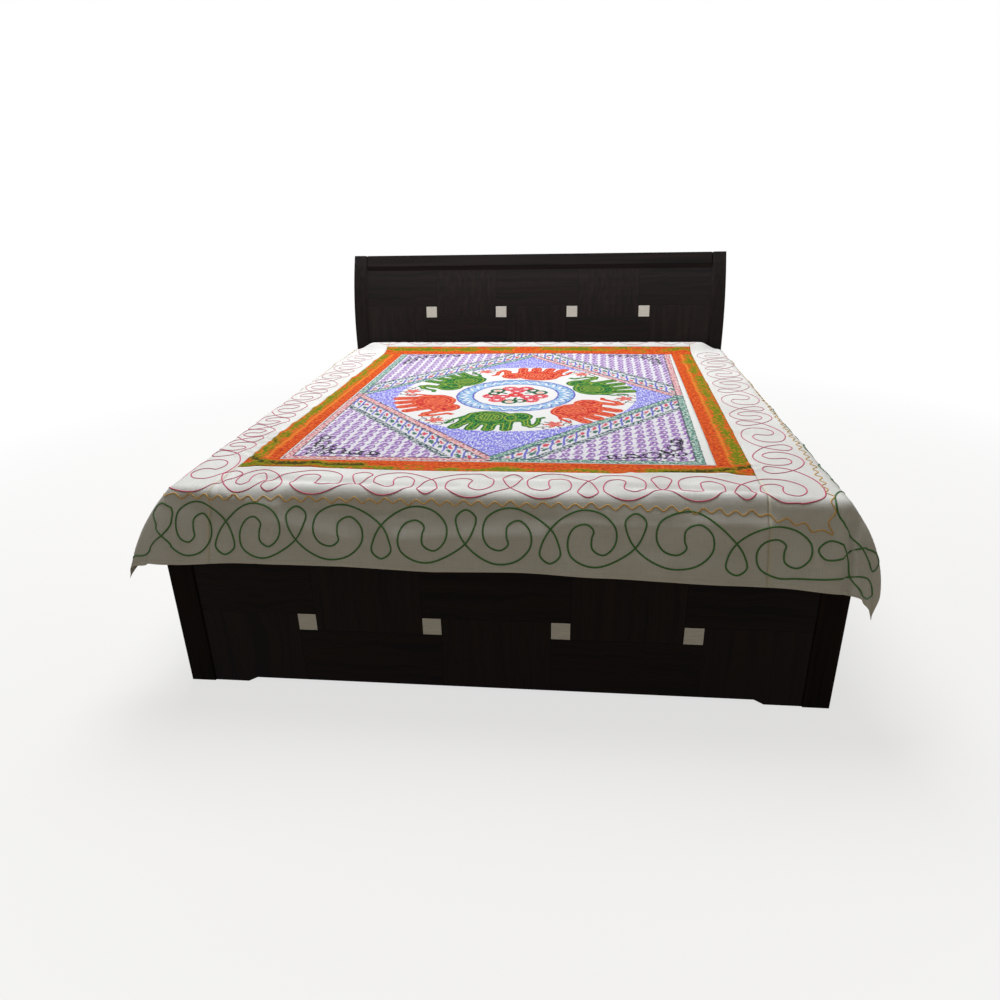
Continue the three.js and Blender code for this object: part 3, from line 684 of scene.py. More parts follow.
def paintMattress(start):
    p = objectPlace(start)
    knit = noise(p, 700, 2)
    colour = mix((0.82, 0.8, 0.76), (0.74, 0.72, 0.68), patches(noise(p, 12, 3), 0.4, 0.7))
    return colour, 0.85 + knit * 0.1, knit * 0.0002


# Distances to shapes, below 0 inside them
def ball(p, x, y, radius):
    return p.vector("DISTANCE", p, (x, y, 0)) - radius


# A place as seen from another, turned and stretched
def seenFrom(p, x, y, turn, size=(1, 1, 1)):
    return p.node("Mapping", {"vector_type": "TEXTURE"}, p, (x, y, 0), (0, 0, turn), size)


def oval(p, x, y, long, high, turn=0):
    q = seenFrom(p, x, y, math.radians(turn), (long, high, 1))
    return (q.vector("LENGTH", q) - 1) * min(long, high)


def stroke(p, x, y, toX, toY, radius):
    q = seenFrom(p, x, y, math.atan2(toY - y, toX - x))
    length = math.hypot(toX - x, toY - y)
    nearest = q.vector("MINIMUM", q.vector("MAXIMUM", q, (0, 0, 0)), (length, 0, 0))
    return q.vector("DISTANCE", q, nearest) - radius


def ring(p, x, y, radius, width):
    return abs(ball(p, x, y, radius)) - width / 2


def blend(a, b, reach=0.012):
    return a.maths("SMOOTH_MIN", a, b, reach)


def modulo(a, b):
    return a.maths("FLOORED_MODULO", a, b)


def angleOf(x, y):
    return x.maths("ARCTAN2", y, x)


# A place moved a little this way and that, by where it is on the cloth
def nudged(place, p, scale, detail, reachX, reachY):
    wander = p.vector("SUBTRACT", noise(p, scale, detail, out=1), (0.5, 0.5, 0.5))
    return p.vector("ADD", place, p.vector("MULTIPLY", wander, (reachX, reachY, 0)))


# Turns a place round a middle into one of a number of equal sectors; also says which sector
def sectors(around, radius, first, count, outTo):
    width = 2 * math.pi / count
    turn = (around - math.radians(first)) * (1 / width) + 0.5
    number = turn.maths("FLOOR", turn)
    angle = (turn - number - 0.5) * width
    across = radius * sine(angle)
    up = outTo - radius * angle.maths("COSINE", angle)
    return across.joined(up), number


elephant = {
    # middle, half length and height, turn
    "ovals": [(-0.03, 0.008, 0.102, 0.06, -4), (-0.034, 0.048, 0.088, 0.066, 0), (0.072, 0.05, 0.052, 0.056, 0)],
    # legs, trunk and tail: from, to and half width
    "strokes": [
        (-0.1, -0.01, -0.122, -0.086, 0.023),
        (-0.056, -0.02, -0.062, -0.094, 0.023),
        (-0.006, -0.02, -0.002, -0.096, 0.023),
        (0.046, -0.01, 0.058, -0.088, 0.022),
        (0.098, 0.042, 0.118, -0.034, 0.017),
        (0.12, -0.034, 0.137, -0.05, 0.012),
        (0.137, -0.05, 0.152, -0.018, 0.011),
        (0.152, -0.018, 0.148, 0.04, 0.01),
        (0.148, 0.04, 0.166, 0.056, 0.009),
        (-0.112, 0.05, -0.148, 0.004, 0.006),
        (-0.148, 0.004, -0.162, -0.048, 0.008),
    ],
    # plain, pale, deep and line
    "green": [(0.014, 0.16, 0.03), (0.09, 0.29, 0.035), (0.004, 0.05, 0.028), (0.34, 0.42, 0.05)],
    "red": [(0.62, 0.04, 0.03), (0.8, 0.15, 0.06), (0.42, 0.012, 0.022), (0.82, 0.23, 0.1)],
}


def paintElephants(base, around, radius):
    e, number = sectors(around, radius, first=-96, count=6, outTo=0.347)
    shape = oval(e, *elephant["ovals"][0])
    for each in elephant["ovals"][1:]:
        shape = blend(shape, oval(e, *each))
    for each in elephant["strokes"]:
        shape = blend(shape, stroke(e, *each), 0.009)
    red = modulo(number, 2)
    plain, pale, deep, line = [mix(g, r, red) for g, r in zip(elephant["green"], elephant["red"])]
    scrawl = noise(e, 1, 3, (120, 60, 1))
    colour = mix(plain, pale, patches(scrawl, 0.51, 0.57))
    colour = mix(colour, deep, patches(scrawl, 0.47, 0.41) * 0.9)
    saddle = oval(e, -0.03, 0.04, 0.048, 0.046)
    ear = oval(e, 0.046, 0.04, 0.02, 0.032, 12)
    lines = least(abs(shape + 0.011), abs(saddle), abs(saddle + 0.014), abs(ear)) - 0.0019
    stripes = most(abs(cell(e.parts()[0] * 80) - 0.5) * 0.0125 - 0.0018, saddle + 0.014)
    colour = mix(colour, line, within(least(lines, stripes), 0.002) * 0.95)
    colour = mix(colour, (0.02, 0.02, 0.02), within(ball(e, 0.083, 0.06, 0.0045), 0.0015))
    return mix(base, colour, within(shape, 0.002))


# The curls' middles and sizes
tendrils = [(-0.052, 0.01, 0.019), (0.05, 0.018, 0.017), (-0.036, -0.026, 0.013), (0.04, -0.022, 0.014)]


# Red flowers with dark curling tendrils, between the elephants
def paintSprigs(base, around, radius):
    s = sectors(around, radius, first=-66, count=6, outTo=0.42)[0]
    petals = sine(angleOf(*s.parts()[:2]) * 5)
    flower = s.vector("LENGTH", s) - (petals * 0.008 + 0.026)
    stem = least(stroke(s, 0, 0, 0.008, -0.046, 0.0032), stroke(s, 0, 0, -0.02, 0.036, 0.003))
    for x, y, size in tendrils:
        opening = stroke(s, x, y, x * 0.4, y - 0.02, 0.006)
        stem = least(stem, most(ring(s, x, y, size, 0.0055), opening * -1))
    base = mix(base, (0.04, 0.04, 0.06), within(stem, 0.002) * 0.9)
    red = mix((0.62, 0.05, 0.05), (0.84, 0.36, 0.3), patches(noise(s, 160, 2), 0.45, 0.6))
    return mix(base, red, within(flower))


blueRing = {"inner": 0.162, "outer": 0.231, "zigzags": 30, "high": 0.05}


# The flowers in the middle, in a ring of blue
def paintMiddle(base, around, radius, speck):
    inner, outer = blueRing["inner"], blueRing["outer"]
    zig = abs(cell(around * (blueRing["zigzags"] / (2 * math.pi))) - 0.5) * blueRing["high"]
    wave = radius - (inner + 0.022) - zig
    blue = mix((0.25, 0.47, 0.74), (0.8, 0.84, 0.9), within(abs(wave) - 0.006, 0.006))
    blue = mix(blue, (0.8, 0.82, 0.9), patches(speck, 0.56, 0.62) * 0.8)
    blue = mix(blue, (0.05, 0.12, 0.48), within(abs(wave - 0.014) - 0.003) * 0.85)
    edge = least(abs(radius - inner), abs(radius - outer)) - 0.007 + (speck - 0.5) * 0.02
    blue = mix(blue, (0.12, 0.11, 0.5), within(edge))
    base = mix(base, blue, within(most(inner - radius, radius - outer), 0.002))
    f = sectors(around, radius, first=90, count=3, outTo=0.09)[0]
    sides = [ring(f, x, -0.002, 0.021, 0.024) for x in (-0.031, 0.031)]
    red = mix((0.62, 0.02, 0.05), (0.86, 0.34, 0.36), patches(noise(f, 120, 2), 0.5, 0.6))
    base = mix(base, red, within(least(*sides, ring(f, 0, 0.036, 0.018, 0.02))))
    g = sectors(around, radius, first=30, count=3, outTo=0.098)[0]
    leaves = least(ring(g, -0.014, 0, 0.024, 0.013), ring(g, 0.026, 0.012, 0.018, 0.013))
    leaves = least(leaves, stroke(g, 0.0, 0.012, 0.004, 0.054, 0.006))
    base = mix(base, (0.012, 0.09, 0.03), within(leaves))
    base = mix(base, (0.82, 0.45, 0.34), within(ball(g, -0.014, 0, 0.013)) * 0.9)
    return mix(base, (0.66, 0.05, 0.05), within(abs(radius - 0.018) - 0.012))


square = {
    "middle": (-0.007, 0.01),
    "half": (0.636, 0.759),
    "slant": 0.006,  # its right side leans out towards the head
    "diamond": (-0.02, 0.735),  # its middle from the square's, and its half length
    "band": 0.026,
    "outerBand": 0.026,
    "flowers": 0.07,
    "scribble": 0.024,
    "strokes": 27,  # figures, rows and strokes are counted to a metre
    "figures": 26,
    "rows": 22,
    # rings and strokes of the corners' dark sprays
    "curls": [(0.056, -0.004, 0.021), (-0.008, 0.06, 0.019), (0.108, -0.012, 0.016), (-0.016, 0.11, 0.015),
              (0.16, -0.018, 0.011)],
    "stems": [(0, 0, 0.034, 0.038, 0.005), (0.03, -0.02, 0.17, -0.03, 0.004), (-0.02, 0.03, -0.028, 0.13, 0.003)],
}
disc = {"middle": (-0.0095, 0.004), "radius": 0.463}


def paintPrint(start):
    p = flatPlace(start)
    p = nudged(p, p, 45, 2, 0.008, 0.008)
    u, v = p.parts()[:2]
    halfX, halfY = square["half"]
    x = u - square["middle"][0] - v * square["slant"]
    x = x.maths("DIVIDE", x, v * (square["slant"] / halfX) + 1)
    y = v - square["middle"][1]
    fromSides, fromEnds = halfX - abs(x), halfY - abs(y)
    diamondY, diamondHalf = square["diamond"]
    length = 1 / math.hypot(1 / halfX, 1 / diamondHalf)
    diamond = (abs(x) * (1 / halfX) + abs(y - diamondY) * (1 / diamondHalf) - 1) * length
    pink = (x * y) > 0
    speck = noise(p, 150, 3)
    streak = noise(p, 1, 3, (170, 55, 1))

    # Rows of small violet figures in the corners
    column = u * square["figures"]
    row = v * square["rows"] + modulo(column.maths("FLOOR", column), 2) * 0.5
    c = ((cell(column) - 0.5) * 0.038).joined((cell(row) - 0.5) * 0.028)
    c = nudged(c, p, 70, 1, 0.014, 0.01)
    figure = least(ring(c, 0.003, 0.001, 0.0095, 0.0066), stroke(c, -0.012, -0.012, 0.006, 0.011, 0.0036))
    violet = mix((0.19, 0.05, 0.32), (0.42, 0.24, 0.62), patches(speck, 0.42, 0.58))
    colour = mix((0.8, 0.81, 0.86), (0.52, 0.47, 0.74), patches(noise(p, 70, 3), 0.48, 0.6) * 0.4)
    colour = mix(colour, violet, within(figure) * 0.95)

    # A white band of red and green flowers between blue strokes, and a dark scribbled line
    dark = patches(noise(p, 95, 3), 0.42, 0.54)
    scribble = mix((0.62, 0.66, 0.7), (0.015, 0.06, 0.075), dark)
    colour = mix(colour, scribble, within(diamond - square["flowers"] - square["scribble"], 0.002))
    colour = mix(colour, (0.74, 0.74, 0.8), within(diamond - square["flowers"], 0.002))
    apart = 1 / square["strokes"]
    stem = (cell(u * square["strokes"]) - 0.5) * apart
    blueStroke = within(abs(stem + sine(v * 90) * 0.0016) - 0.0038, 0.002)
    inBand = within(abs(diamond - square["flowers"] / 2) - 0.032, 0.002)
    colour = mix(colour, (0.1, 0.1, 0.58), blueStroke * inBand * 0.9)
    flower = ((cell(u * square["strokes"] + 0.5) - 0.5) * apart).joined(diamond)
    flower = nudged(flower, p, 60, 1, 0.024, 0.024)
    for ink, place, share in [
        ((0.64, 0.04, 0.08), (0.0, 0.023, 0.008), 0.95),
        ((0.015, 0.14, 0.1), (0.003, 0.048, 0.009), 0.95),
        ((0.03, 0.04, 0.08), (-0.01, 0.035, 0.005), 0.9),
    ]:
        colour = mix(colour, ink, within(ball(flower, *place)) * share)
    colour = mix(colour, (0.02, 0.06, 0.14), within(diamond - 0.011, 0.002) * dark * 0.85)

    # Dark sprays in the four corners of the square
    k = ((fromSides - 0.086) * (1 / 1.15)).joined((fromEnds - 0.078) * (1 / 1.15))
    k = nudged(k, p, 60, 1, 0.02, 0.02)
    petals = sine(angleOf(*k.parts()[:2]) * 5) * 0.012 + 0.024
    spray = abs(k.vector("LENGTH", k) - petals) - 0.0046
    curls = [ring(k, *at, 0.0075) for at in square["curls"]]
    spray = least(spray, *curls, *[stroke(k, *at) for at in square["stems"]])
    colour = mix(colour, (0.006, 0.01, 0.014), within(spray + (speck - 0.5) * 0.016))

    # The bands along the square's sides and the diamond's
    ground = mix((0.17, 0.38, 0.31), (0.76, 0.34, 0.37), pink)
    coarse = noise(p, 105, 3)
    ground = mix(ground, (0.76, 0.78, 0.8), patches(coarse, 0.51, 0.58) * 0.85)
    ground = mix(ground, mix((0.015, 0.09, 0.08), (0.3, 0.05, 0.1), pink), patches(coarse, 0.46, 0.39) * 0.9)
    fromEdge = least(fromSides, fromEnds)
    colour = mix(colour, ground, within(fromEdge - square["outerBand"], 0.002))
    colour = mix(colour, (0.82, 0.84, 0.84), within(fromEdge, 0.002))

    # Inside the diamond: violet-blue hatching, and the white disc with its elephants
    hatch = mix((0.3, 0.3, 0.82), (0.14, 0.11, 0.6), patches(streak, 0.45, 0.36))
    hatch = mix(hatch, (0.7, 0.73, 0.9), patches(streak, 0.52, 0.6))
    inside = mix(hatch, (0.81, 0.82, 0.84), within(ball(p, *disc["middle"], disc["radius"])))
    q = p.vector("SUBTRACT", p, (*disc["middle"], 0))
    radius = q.vector("LENGTH", q)
    around = angleOf(*q.parts()[:2])
    inside = paintSprigs(inside, around, radius)
    inside = paintElephants(inside, around, radius)
    inside = paintMiddle(inside, around, radius, speck)
    colour = mix(colour, ground, within(diamond, 0.002))
    colour = mix(colour, inside, within(diamond + square["band"], 0.002))
    lines = least(abs(diamond), abs(diamond + square["band"]), abs(fromEdge - square["outerBand"]), abs(fromEdge))
    lines = most(lines - 0.0028, fromEdge * -1)
    colour = mix(colour, (0.03, 0.045, 0.07), within(lines, 0.002) * patches(noise(p, 60, 2), 0.36, 0.5) * 0.85)

    # The ink thins where the yarn stands proud
    faded = patches(noise(p, 500, 2), 0.55, 0.75) * 0.15
    return mix(colour, (0.8, 0.81, 0.82), faded), cotton["roughness"] + speck * 0.1, weave(p)


def addObject(name, data):
    made = bpy.data.objects.new(name, data)
    bpy.context.scene.collection.objects.link(made)
    return made


def addPiece(mesh, material, slot, *nodes):
    piece = addObject(mesh.name, mesh)
    mesh.materials.append(material)
    mesh.shade_smooth()
    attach(piece, "root")
    if nodes:
        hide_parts(*nodes)
    return piece


def seamLine(offset, inset):
    return lambda y: shift(y) + offset + inset


gap = sheet["gap"]
half = sheet["borderWidth"] / 2
innerHalf = half - sheet["sideStrip"]
footSeam = sheet["centreY"] - sheet["borderLength"] / 2
headSeam = sheet["centreY"] + sheet["borderLength"] / 2
footInner = footSeam + sheet["footStrip"]
headInner = headSeam - sheet["headStrip"]
allAlong = [footHem, rest["foot"], rest["head"], headHemLine]
stripAlong = [footInner + gap, headInner - gap]
# How far out from the sheet's middle each strip's inner edge is, and the strip's width
strips = {
    "left": (innerHalf, sheet["sideStrip"]),
    "right": (innerHalf, sheet["sideStrip"]),
    "foot": (sheet["centreY"] - footInner, sheet["footStrip"]),
    "head": (headInner - sheet["centreY"], sheet["headStrip"]),
}

cottonFinish = {"Specular_IOR_Level": 0.12}
whiteCloth = makeMaterial("whiteCloth", paintWhite, **cottonFinish)
printCloth = makeMaterial("printCloth", paintPrint, **cottonFinish)
stripCloth = {}
for side, edges in strips.items():
    stripCloth[side] = makeMaterial("stripCloth" + side.title(), paintStrip, side, *edges, **cottonFinish)

white, orange = "white_cotton", "orange_cotton"  # slots
# Each piece: the lines it runs between across the bed and along it, its cloth and its slot
fullAcross = [seamLine(-half, gap), seamLine(half, -gap)]
leftAcross = [leftHem, rest["left"], seamLine(-half, -gap)]
rightAcross = [seamLine(half, gap), rest["right"], rightHem]
innerAcross = [seamLine(-innerHalf, gap), seamLine(innerHalf, -gap)]
clothPieces = {
    "sheet_left_width": (leftAcross, allAlong, whiteCloth, white),
    "sheet_right_width": (rightAcross, allAlong, whiteCloth, white),
    "sheet_foot_width": (fullAcross, [footHem, rest["foot"], footSeam - gap], whiteCloth, white),
    "sheet_head_width": (fullAcross, [headSeam + gap, rest["head"], headHemLine], whiteCloth, white),
    "border_strip_foot": (fullAcross, [footSeam + gap, footInner - gap], stripCloth["foot"], orange),
    "border_strip_head": (fullAcross, [headInner + gap, headSeam - gap], stripCloth["head"], orange),
    "border_strip_left": ([fullAcross[0], seamLine(-innerHalf, -gap)], stripAlong, stripCloth["left"], orange),
    "border_strip_right": ([seamLine(innerHalf, gap), fullAcross[1]], stripAlong, stripCloth["right"], orange),
    "printed_panel": (innerAcross, stripAlong, printCloth, "printed_cotton"),
}


# A mesh's flat map, with one row for each corner of its faces
def flatMap(mesh):
    corners = np.empty(len(mesh.loops) * 2)
    mesh.uv_layers["flat"].data.foreach_get("uv", corners)
    return corners.reshape(-1, 2)


# A piece's size and area laid flat
def flatSize(mesh):
    flat = flatMap(mesh)
    width, length = flat.max(axis=0) - flat.min(axis=0)
    corners = flat.reshape(-1, 4, 2)
    (aX, aY), (bX, bY) = (corners[:, 2] - corners[:, 0]).T, (corners[:, 3] - corners[:, 1]).T
    return float(width), float(length), float(np.abs(aX * bY - aY * bX).sum() / 2)


# How far each point of a white width is from the sheet's hem, laid flat
def addHemDistance(mesh):
    index = np.empty(len(mesh.loops), dtype=int)
    mesh.loops.foreach_get("vertex_index", index)
    flat = np.empty((len(mesh.vertices), 2))
    flat[index] = flatMap(mesh)
    y = flat[:, 1] + sheet["centreY"]
    x = flat[:, 0] + shift(y)
    near = np.minimum.reduce([x - leftHem(y), rightHem(y) - x, y - footHem(x), headHemLine - y])
    mesh.attributes.new("hem", "FLOAT", "POINT").data.foreach_set("value", near)


print("Draping the sheet")
pieces = {}
for name, (across, along, material, slot) in clothPieces.items():
    mesh = clothMesh(name + "_cloth", across, along)
    if material == whiteCloth:
        addHemDistance(mesh)
    piece = addPiece(mesh, material, slot, name)
    wall = piece.modifiers.new("wall", "SOLIDIFY")
    wall.thickness = sheet["thickness"]
    wall.offset = 0
    pieces[name] = piece

print("Stitching the embroidery")
# One scroll between two crossings: share of the way along and rise from the middle of its band.
# It comes over the top, turns back inside itself and leaves along the bottom
scroll = {
    "along": [0.17, 0.38, 0.62, 0.77, 0.76, 0.63, 0.5, 0.49, 0.51, 0.42, 0.28, 0.21, 0.24, 0.41, 0.62],
    "rise": [0.76, 1.0, 0.85, 0.34, -0.22, -0.58, -0.38, 0.0, 0.28, 0.5, 0.37, -0.06, -0.62, -0.96, -0.98],
}
loop = {"along": [0.022, 0.026, 0.0, -0.026, -0.022], "rise": [0.25, 0.66, 0.92, 0.66, 0.25]}
crossingRise = -0.3

# Each side's band: its middle from the sheet's middle, its half height, where its last scroll ends
# and where the line crosses itself. The crossings' loops point inwards and outwards in turn
greenBand = {
    "foot": {"middle": 1.104, "half": 0.074, "end": 0.905, "last": (1.128, 0.066),
             "crossings": [-0.878, -0.698, -0.498, -0.262, -0.034, 0.19, 0.41, 0.666]},
    "right": {"middle": 1.01, "half": 0.076, "end": 0.8,
              "crossings": [-0.84, -0.66, -0.45, -0.24, -0.03, 0.18, 0.39, 0.6]},
    "head": {"middle": 1.036, "half": 0.034, "end": 0.88,
             "crossings": [-0.86, -0.64, -0.41, -0.18, 0.05, 0.27, 0.48, 0.69]},
    "left": {"middle": 0.983, "half": 0.062, "end": 0.86,
             "crossings": [-0.86, -0.64, -0.43, -0.21, 0.01, 0.23, 0.44, 0.66]},
}
pinkBand = {
    "foot": {"middle": 0.93, "half": 0.072, "end": 0.9,
             "crossings": [-0.73, -0.582, -0.346, -0.146, 0.078, 0.286, 0.482, 0.69]},
    "right": {"middle": 0.831, "half": 0.068, "end": 0.82,
              "crossings": [-0.786, -0.59, -0.342, -0.166, 0.08, 0.27, 0.46, 0.64]},
    "head": {"middle": 0.905, "half": 0.056, "end": 0.84,
             "crossings": [-0.74, -0.56, -0.35, -0.14, 0.07, 0.28, 0.48, 0.67]},
    "left": {"middle": 0.832, "half": 0.06, "end": 0.985, "last": (0.818, 0.066),
             "crossings": [-0.74, -0.56, -0.39, -0.21, -0.04, 0.13, 0.3, 0.44, 0.575, 0.715]},
}
# The loops sewn at the right foot corner instead of a plain turn, as places on the flat sheet
cornerLoops = {
    "u": [0.9, 0.97, 1.055, 1.105, 1.07, 1.005, 0.97, 0.96, 0.935, 0.895, 0.868, 0.885,
          0.93, 0.975, 1.04, 1.082, 1.078, 1.04, 0.996, 0.948, 0.915, 0.91, 0.93],
    "v": [-1.192, -1.182, -1.16, -1.18, -1.208, -1.206, -1.18, -1.143, -1.108, -1.095, -1.118, -1.142,
          -1.138, -1.112, -1.083, -1.098, -1.124, -1.114, -1.088, -1.064, -1.03, -0.985, -0.94],
}
# Metres, then how much the teeth's heights vary and how quickly they do from one to the next
zigzag = {"long": 0.021, "high": 0.0066, "uneven": 0.35, "beat": 1.9}
zigzagTrack = {
    "u": [-0.915, -0.78, 0.4, 0.72, 0.81, 0.895, 0.902, 0.905, 0.918, 0.92, -0.918],
    "v": [-1.008, -1.016, -1.02, -1.03, -1.052, -1.078, -1.02, -0.92, -0.71, 0.985, 0.985],
}


# How far along a line each of its points is
def runOf(points):
    return np.concatenate([[0], np.cumsum(np.linalg.norm(np.diff(points, axis=0), axis=1))])


# A smooth line through some places, sampled an even step apart
def smoothLine(places, step):
    places = np.array(places, dtype=float)
    gaps = np.sqrt(np.linalg.norm(np.diff(places, axis=0), axis=1))
    at = np.concatenate([[0], np.cumsum(gaps)])
    slope = np.diff(places, axis=0) / gaps[:, None]
    tangent = np.vstack([slope[:1], slope[1:] * 0, slope[-1:]])
    before, after = gaps[:-1, None], gaps[1:, None]
    tangent[1:-1] = (slope[:-1] * after + slope[1:] * before) / (before + after)
    fine = np.linspace(0, at[-1], 30 * len(places))
    row = np.clip(np.searchsorted(at, fine) - 1, 0, len(gaps) - 1)
    t = ((fine - at[row]) / gaps[row])[:, None]
    span = gaps[row][:, None]
    line = (
        (2 * t**3 - 3 * t**2 + 1) * places[row]
        + (t**3 - 2 * t**2 + t) * span * tangent[row]
        + (3 * t**2 - 2 * t**3) * places[row + 1]
        + (t**3 - t**2) * span * tangent[row + 1]
    )
    run = runOf(line)
    even = np.linspace(0, run[-1], max(2, round(run[-1] / step)) + 1)
    return np.stack([np.interp(even, run, line[:, k]) for k in (0, 1)], axis=-1)


# Turns a side's own along and outward distances into places on the flat sheet
def onSide(side, along, out):
    return {"foot": (along, -out), "right": (out, along), "head": (-along, out), "left": (-out, -along)}[side]


# The scrolls of one side, alternately upright and upside down, joined by loops
def sideScrolls(side, band):
    crossings = band["crossings"] + [band["end"]]
    places = []
    for k, at in enumerate(crossings[:-1]):
        up = -1 if k % 2 else 1  # an inward loop first
        middle, half = band["middle"], band["half"]
        if "last" in band and k == len(crossings) - 2:
            middle, half = band["last"]

        def add(along, rise):
            places.append(onSide(side, along, middle - up * rise * half))

        add(at, crossingRise)
        for along, rise in zip(loop["along"], loop["rise"]):
            add(at + along, rise)
        add(at, crossingRise)
        for along, rise in zip(scroll["along"], scroll["rise"]):
            add(at + along * (crossings[k + 1] - at), -rise)
    return places


# How a line turns at a corner: how far short of the next band's outer edge and of its own it passes
cornerPlaces = [(0.075, 0), (0.018, 0.02), (0, 0.07)]
bow = 0.006  # how far in it passes half way from there to the next side's first crossing


# Round a corner on the outside of two bands, from one side to the next
def cornerTurn(side, band, nextBand):
    out, nextOut = band["middle"] + band["half"], nextBand["middle"] + nextBand["half"]
    turn = [(nextOut - before, out - inside) for before, inside in cornerPlaces]
    turn.append((nextOut - bow, (turn[-1][1] - nextBand["crossings"][0]) / 2))
    return [onSide(side, along, outward) for along, outward in turn]


# A band's whole line round the sheet, back to where it started
def scrollLine(bands, loopsAtCorner=None):
    sides = ["foot", "right", "head", "left"]
    places = []
    for side, nextSide in zip(sides, sides[1:] + sides[:1]):
        places += sideScrolls(side, bands[side])
        if side == "foot" and loopsAtCorner:
            places += zip(loopsAtCorner["u"], loopsAtCorner["v"])
        else:
            places += cornerTurn(side, bands[side], bands[nextSide])
    return places + places[:1]


def zigzagLine(track):
    corners = list(zip(track["u"], track["v"]))
    places = []
    for (fromU, fromV), (toU, toV) in zip(corners, corners[1:] + corners[:1]):
        length = math.hypot(toU - fromU, toV - fromV)
        count = max(2, 2 * round(length / (2 * zigzag["long"])))
        c, s = (toU - fromU) / length, (toV - fromV) / length
        for k in range(count):
            uneven = 1 + zigzag["uneven"] * math.sin(zigzag["beat"] * len(places))
            high = zigzag["high"] * uneven * (1 if k % 2 else -1)
            along = length * k / count
            places.append((fromU + along * c - high * s, fromV + along * s + high * c))
    return places + places[:1]


# Sews a line of thread onto the cloth, as a half-round cord of chain stitches
def stitch(name, places, width, material):
    line = smoothLine(places, thread["step"])
    y = line[:, 1] + sheet["centreY"]
    x = line[:, 0] + shift(y)
    middle, facing = lie(x, y, sheet["thickness"] / 2 + thread["proud"])
    forward = np.roll(middle, -1, axis=0) - np.roll(middle, 1, axis=0)
    forward[[0, -1]] = middle[1] - middle[-2]
    forward /= np.linalg.norm(forward, axis=1, keepdims=True)
    sideways = np.cross(facing, forward)
    run = runOf(middle)

    def place(i, j):
        angle = 2 * np.pi * i / thread["sides"]
        out = np.cos(angle) * width / 2
        up = np.maximum(np.sin(angle), -thread["under"]) * thread["height"]
        points = middle[j] + sideways[j] * out[:, None] + facing[j] * up[:, None]
        return points, np.stack([run[j], i / thread["sides"]], axis=-1)

    mesh = gridMesh(name, thread["sides"], len(line) - 1, place)
    bm = bmesh.new()
    bm.from_mesh(mesh)
    bmesh.ops.remove_doubles(bm, verts=bm.verts, dist=tiny)
    bmesh.ops.recalc_face_normals(bm, faces=bm.faces)
    bm.to_mesh(mesh)
    bm.free()
    return addPiece(mesh, material, white)


# Each thread's line, width, colour, darker colour, which also paints the shade in its stitches' dips, and how
# much paler it is painted towards the head
threads = {
    "green_scroll": (scrollLine(greenBand, cornerLoops), 0.0048, (0.034, 0.15, 0.016), (0.016, 0.078, 0.01), 0.0),
    "pink_scroll": (scrollLine(pinkBand), 0.0036, (0.75, 0.095, 0.22), (0.49, 0.045, 0.115), 0.6),
    "ochre_zigzag": (zigzagLine(zigzagTrack), 0.0036, (0.84, 0.5, 0.13), (0.6, 0.33, 0.08), 0.3),
}
threadFinish = {"Specular_IOR_Level": 0.35, "Sheen_Weight": 0.1}
threadPieces = []
for name, (places, width, *colours) in threads.items():
    material = makeMaterial(name + "_thread", paintThread, *colours, **threadFinish)
    threadPieces.append(stitch(name, places, width, material))

print("Filling the mattress")
mattress = {"edge": 0.045, "corner": 0.055, "segments": 6}
low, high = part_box("mattress")
bm = bmesh.new()
bmesh.ops.create_cube(bm, size=1)
bmesh.ops.scale(bm, vec=[high[k] - low[k] for k in range(3)], verts=bm.verts)
bmesh.ops.translate(bm, vec=[(high[k] + low[k]) / 2 for k in range(3)], verts=bm.verts)
for rounding, isUpright in [("corner", True), ("edge", False)]:
    edges = [e for e in bm.edges if (abs(e.verts[0].co.z - e.verts[1].co.z) > 0.01) == isUpright]
    bmesh.ops.bevel(bm, geom=edges, offset=mattress[rounding], affect="EDGES", segments=mattress["segments"],
                    profile=0.5, material=-1)
mattressMesh = bpy.data.meshes.new("mattress_padded")
bm.to_mesh(mattressMesh)
bm.free()
mattressKnit = makeMaterial("mattressKnit", paintMattress, Sheen_Weight=0.2)
mattressPiece = addPiece(mattressMesh, mattressKnit, "mattress_cover", "mattress")

for name, piece in pieces.items():
    width, length, area = flatSize(piece.data)
    onIt = threadPieces if name == "sheet_foot_width" else []
    min(area, width * length)

print("Finishing the wood")
# Each finish: the nodes it goes on, its painter and what that is given, and how much it shines
finishes = {
    "footVeneer": (["footboard_panel"], paintVeneer, (0.0, 0.217, 0.358), {"Specular_IOR_Level": 0.045}),
    "headVeneer": (["headboard_panel"], paintVeneer, (0.006, 0.769, 0.351), {"Specular_IOR_Level": 0.15}),
    "footUprights": (["footboard_pilaster"], paintPost, (True,), {"Specular_IOR_Level": 0.02}),
    "headUprights": (["headboard_stile"], paintPost, (True,), {"Specular_IOR_Level": 0.12}),
    "lyingWood": (["headboard_rail", "side_board"], paintPost, (False,), {"Specular_IOR_Level": 0.09}),
    # One brushed metal at foot and head: the foot's colours are painted darker as shade, the head's lighter as
    # lit
    "footInlayShaded": (["footboard_inlay"], paintInlay, ((0.31, 0.27, 0.21), (0.21, 0.19, 0.15)), {"Metallic": 0.6}),
    "headInlayLit": (["headboard_inlay"], paintInlay, ((0.7, 0.68, 0.6), (0.5, 0.49, 0.43)), {"Metallic": 0.6}),
    "bareBoard": (["deck", "cleat"], paintBoard, (), {}),
}
for finish, (starts, painter, given, constants) in finishes.items():
    material = makeMaterial(finish, painter, *given, **constants)
    for name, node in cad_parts.items():
        if name.startswith(tuple(starts)):
            for each in node.material_slots:
                each.material = material

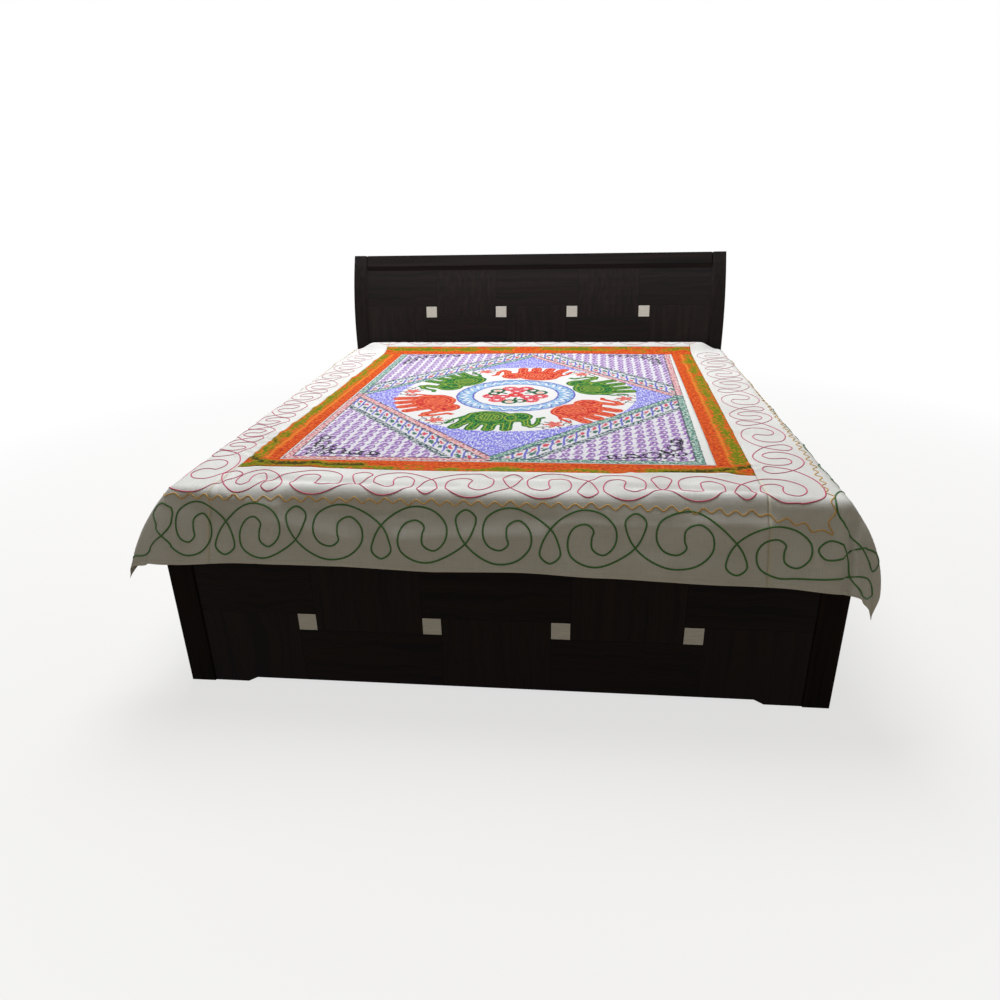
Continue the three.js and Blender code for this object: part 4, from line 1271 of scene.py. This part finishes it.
print("Setting the stage")
stage = {
    "floorSize": 14.0,
    "floorTone": (0.47, 0.41, 0.34),  # what it gives back to the bed
    "shadowTone": (0.96, 0.96, 0.96),
    "shadowShare": 0.3,  # how much of the floor seen near the bed shows its shadow; the rest is white
    "shadowFades": (3.4, 1.6),  # white from the first distance, the full share from the second
    "fill": (0.163, 0.145, 0.109),  # the room's light on the bed
    "lampSize": 2.4,
    "lampPower": 151,
    "lampPlace": (-0.45, 1.2, 3.8),
    "lampAim": (0.0, 0.25, 0.6),
}
pureWhite = (1.0, 1.0, 1.0)


# Ends a tree's shader with one look for the light on the bed and another for the camera's rays
def finishTree(start, output, look, seen):
    rays = [start.node("LightPath", {}, out=ray) for ray in (0, 3, 6)]
    mixed = start.node("MixShader", {}, most(*rays), look, seen)
    start.tree.links.new(mixed.socket, start.tree.nodes[output].inputs["Surface"])


floorMesh = flatGrid("floor", 1, 1, stage["floorSize"] / 2)
addObject("floor", floorMesh)
floorPaint = bpy.data.materials.new("floorPaint")
floorPaint.use_nodes = True
floorMesh.materials.append(floorPaint)
start = Wire(floorPaint.node_tree)
distance = start.vector("LENGTH", objectPlace(start))
nearBed = start.node("MapRange", {}, distance, *stage["shadowFades"], 0.0, stage["shadowShare"])
shadow = start.node("BsdfDiffuse", {}, stage["shadowTone"])
seen = start.node("MixShader", {}, nearBed, start.node("Emission", {}, pureWhite), shadow)
finishTree(start, "Material Output", start.node("BsdfDiffuse", {}, stage["floorTone"]), seen)

world = bpy.data.worlds.new("room")
world.use_nodes = True
bpy.context.scene.world = world
start = Wire(world.node_tree)
fill, backdrop = [start.node("Background", {}, colour) for colour in (stage["fill"], pureWhite)]
finishTree(start, "World Output", fill, backdrop)

lamp = bpy.data.lights.new("ceilingLamp", "AREA")
lamp.shape = "SQUARE"
lamp.size = stage["lampSize"]
lamp.energy = stage["lampPower"]
lampObject = addObject("ceilingLamp", lamp)
lampObject.location = stage["lampPlace"]
aim = Vector(stage["lampAim"]) - Vector(stage["lampPlace"])
lampObject.rotation_euler = aim.to_track_quat("-Z", "Y").to_euler()

camera = {
    "place": (0.204, -2.7573, 1.3402),  # from the middle of the bed
    "turn": 0.1074,
    "down": 0.4082,
    "roll": -0.022,
    "lens": 26.37,
    "sensor": 36,
    "shift": 0.0034,
}
cameraData = bpy.data.cameras.new("camera")
cameraData.lens = camera["lens"]
cameraData.sensor_width = camera["sensor"]
cameraData.shift_y = camera["shift"]
cameraObject = addObject("camera", cameraData)
x, y, z = camera["place"]
turned = Matrix.Rotation(camera["turn"], 4, "Z") @ Matrix.Rotation(math.pi / 2 - camera["down"], 4, "X")
placed = Matrix.Translation((bedX + x, bedY + y, z)) @ turned
cameraObject.matrix_world = placed @ Matrix.Rotation(camera["roll"], 4, "Z")
bpy.context.scene.camera = cameraObject
bpy.context.scene.view_settings.view_transform = "Standard"
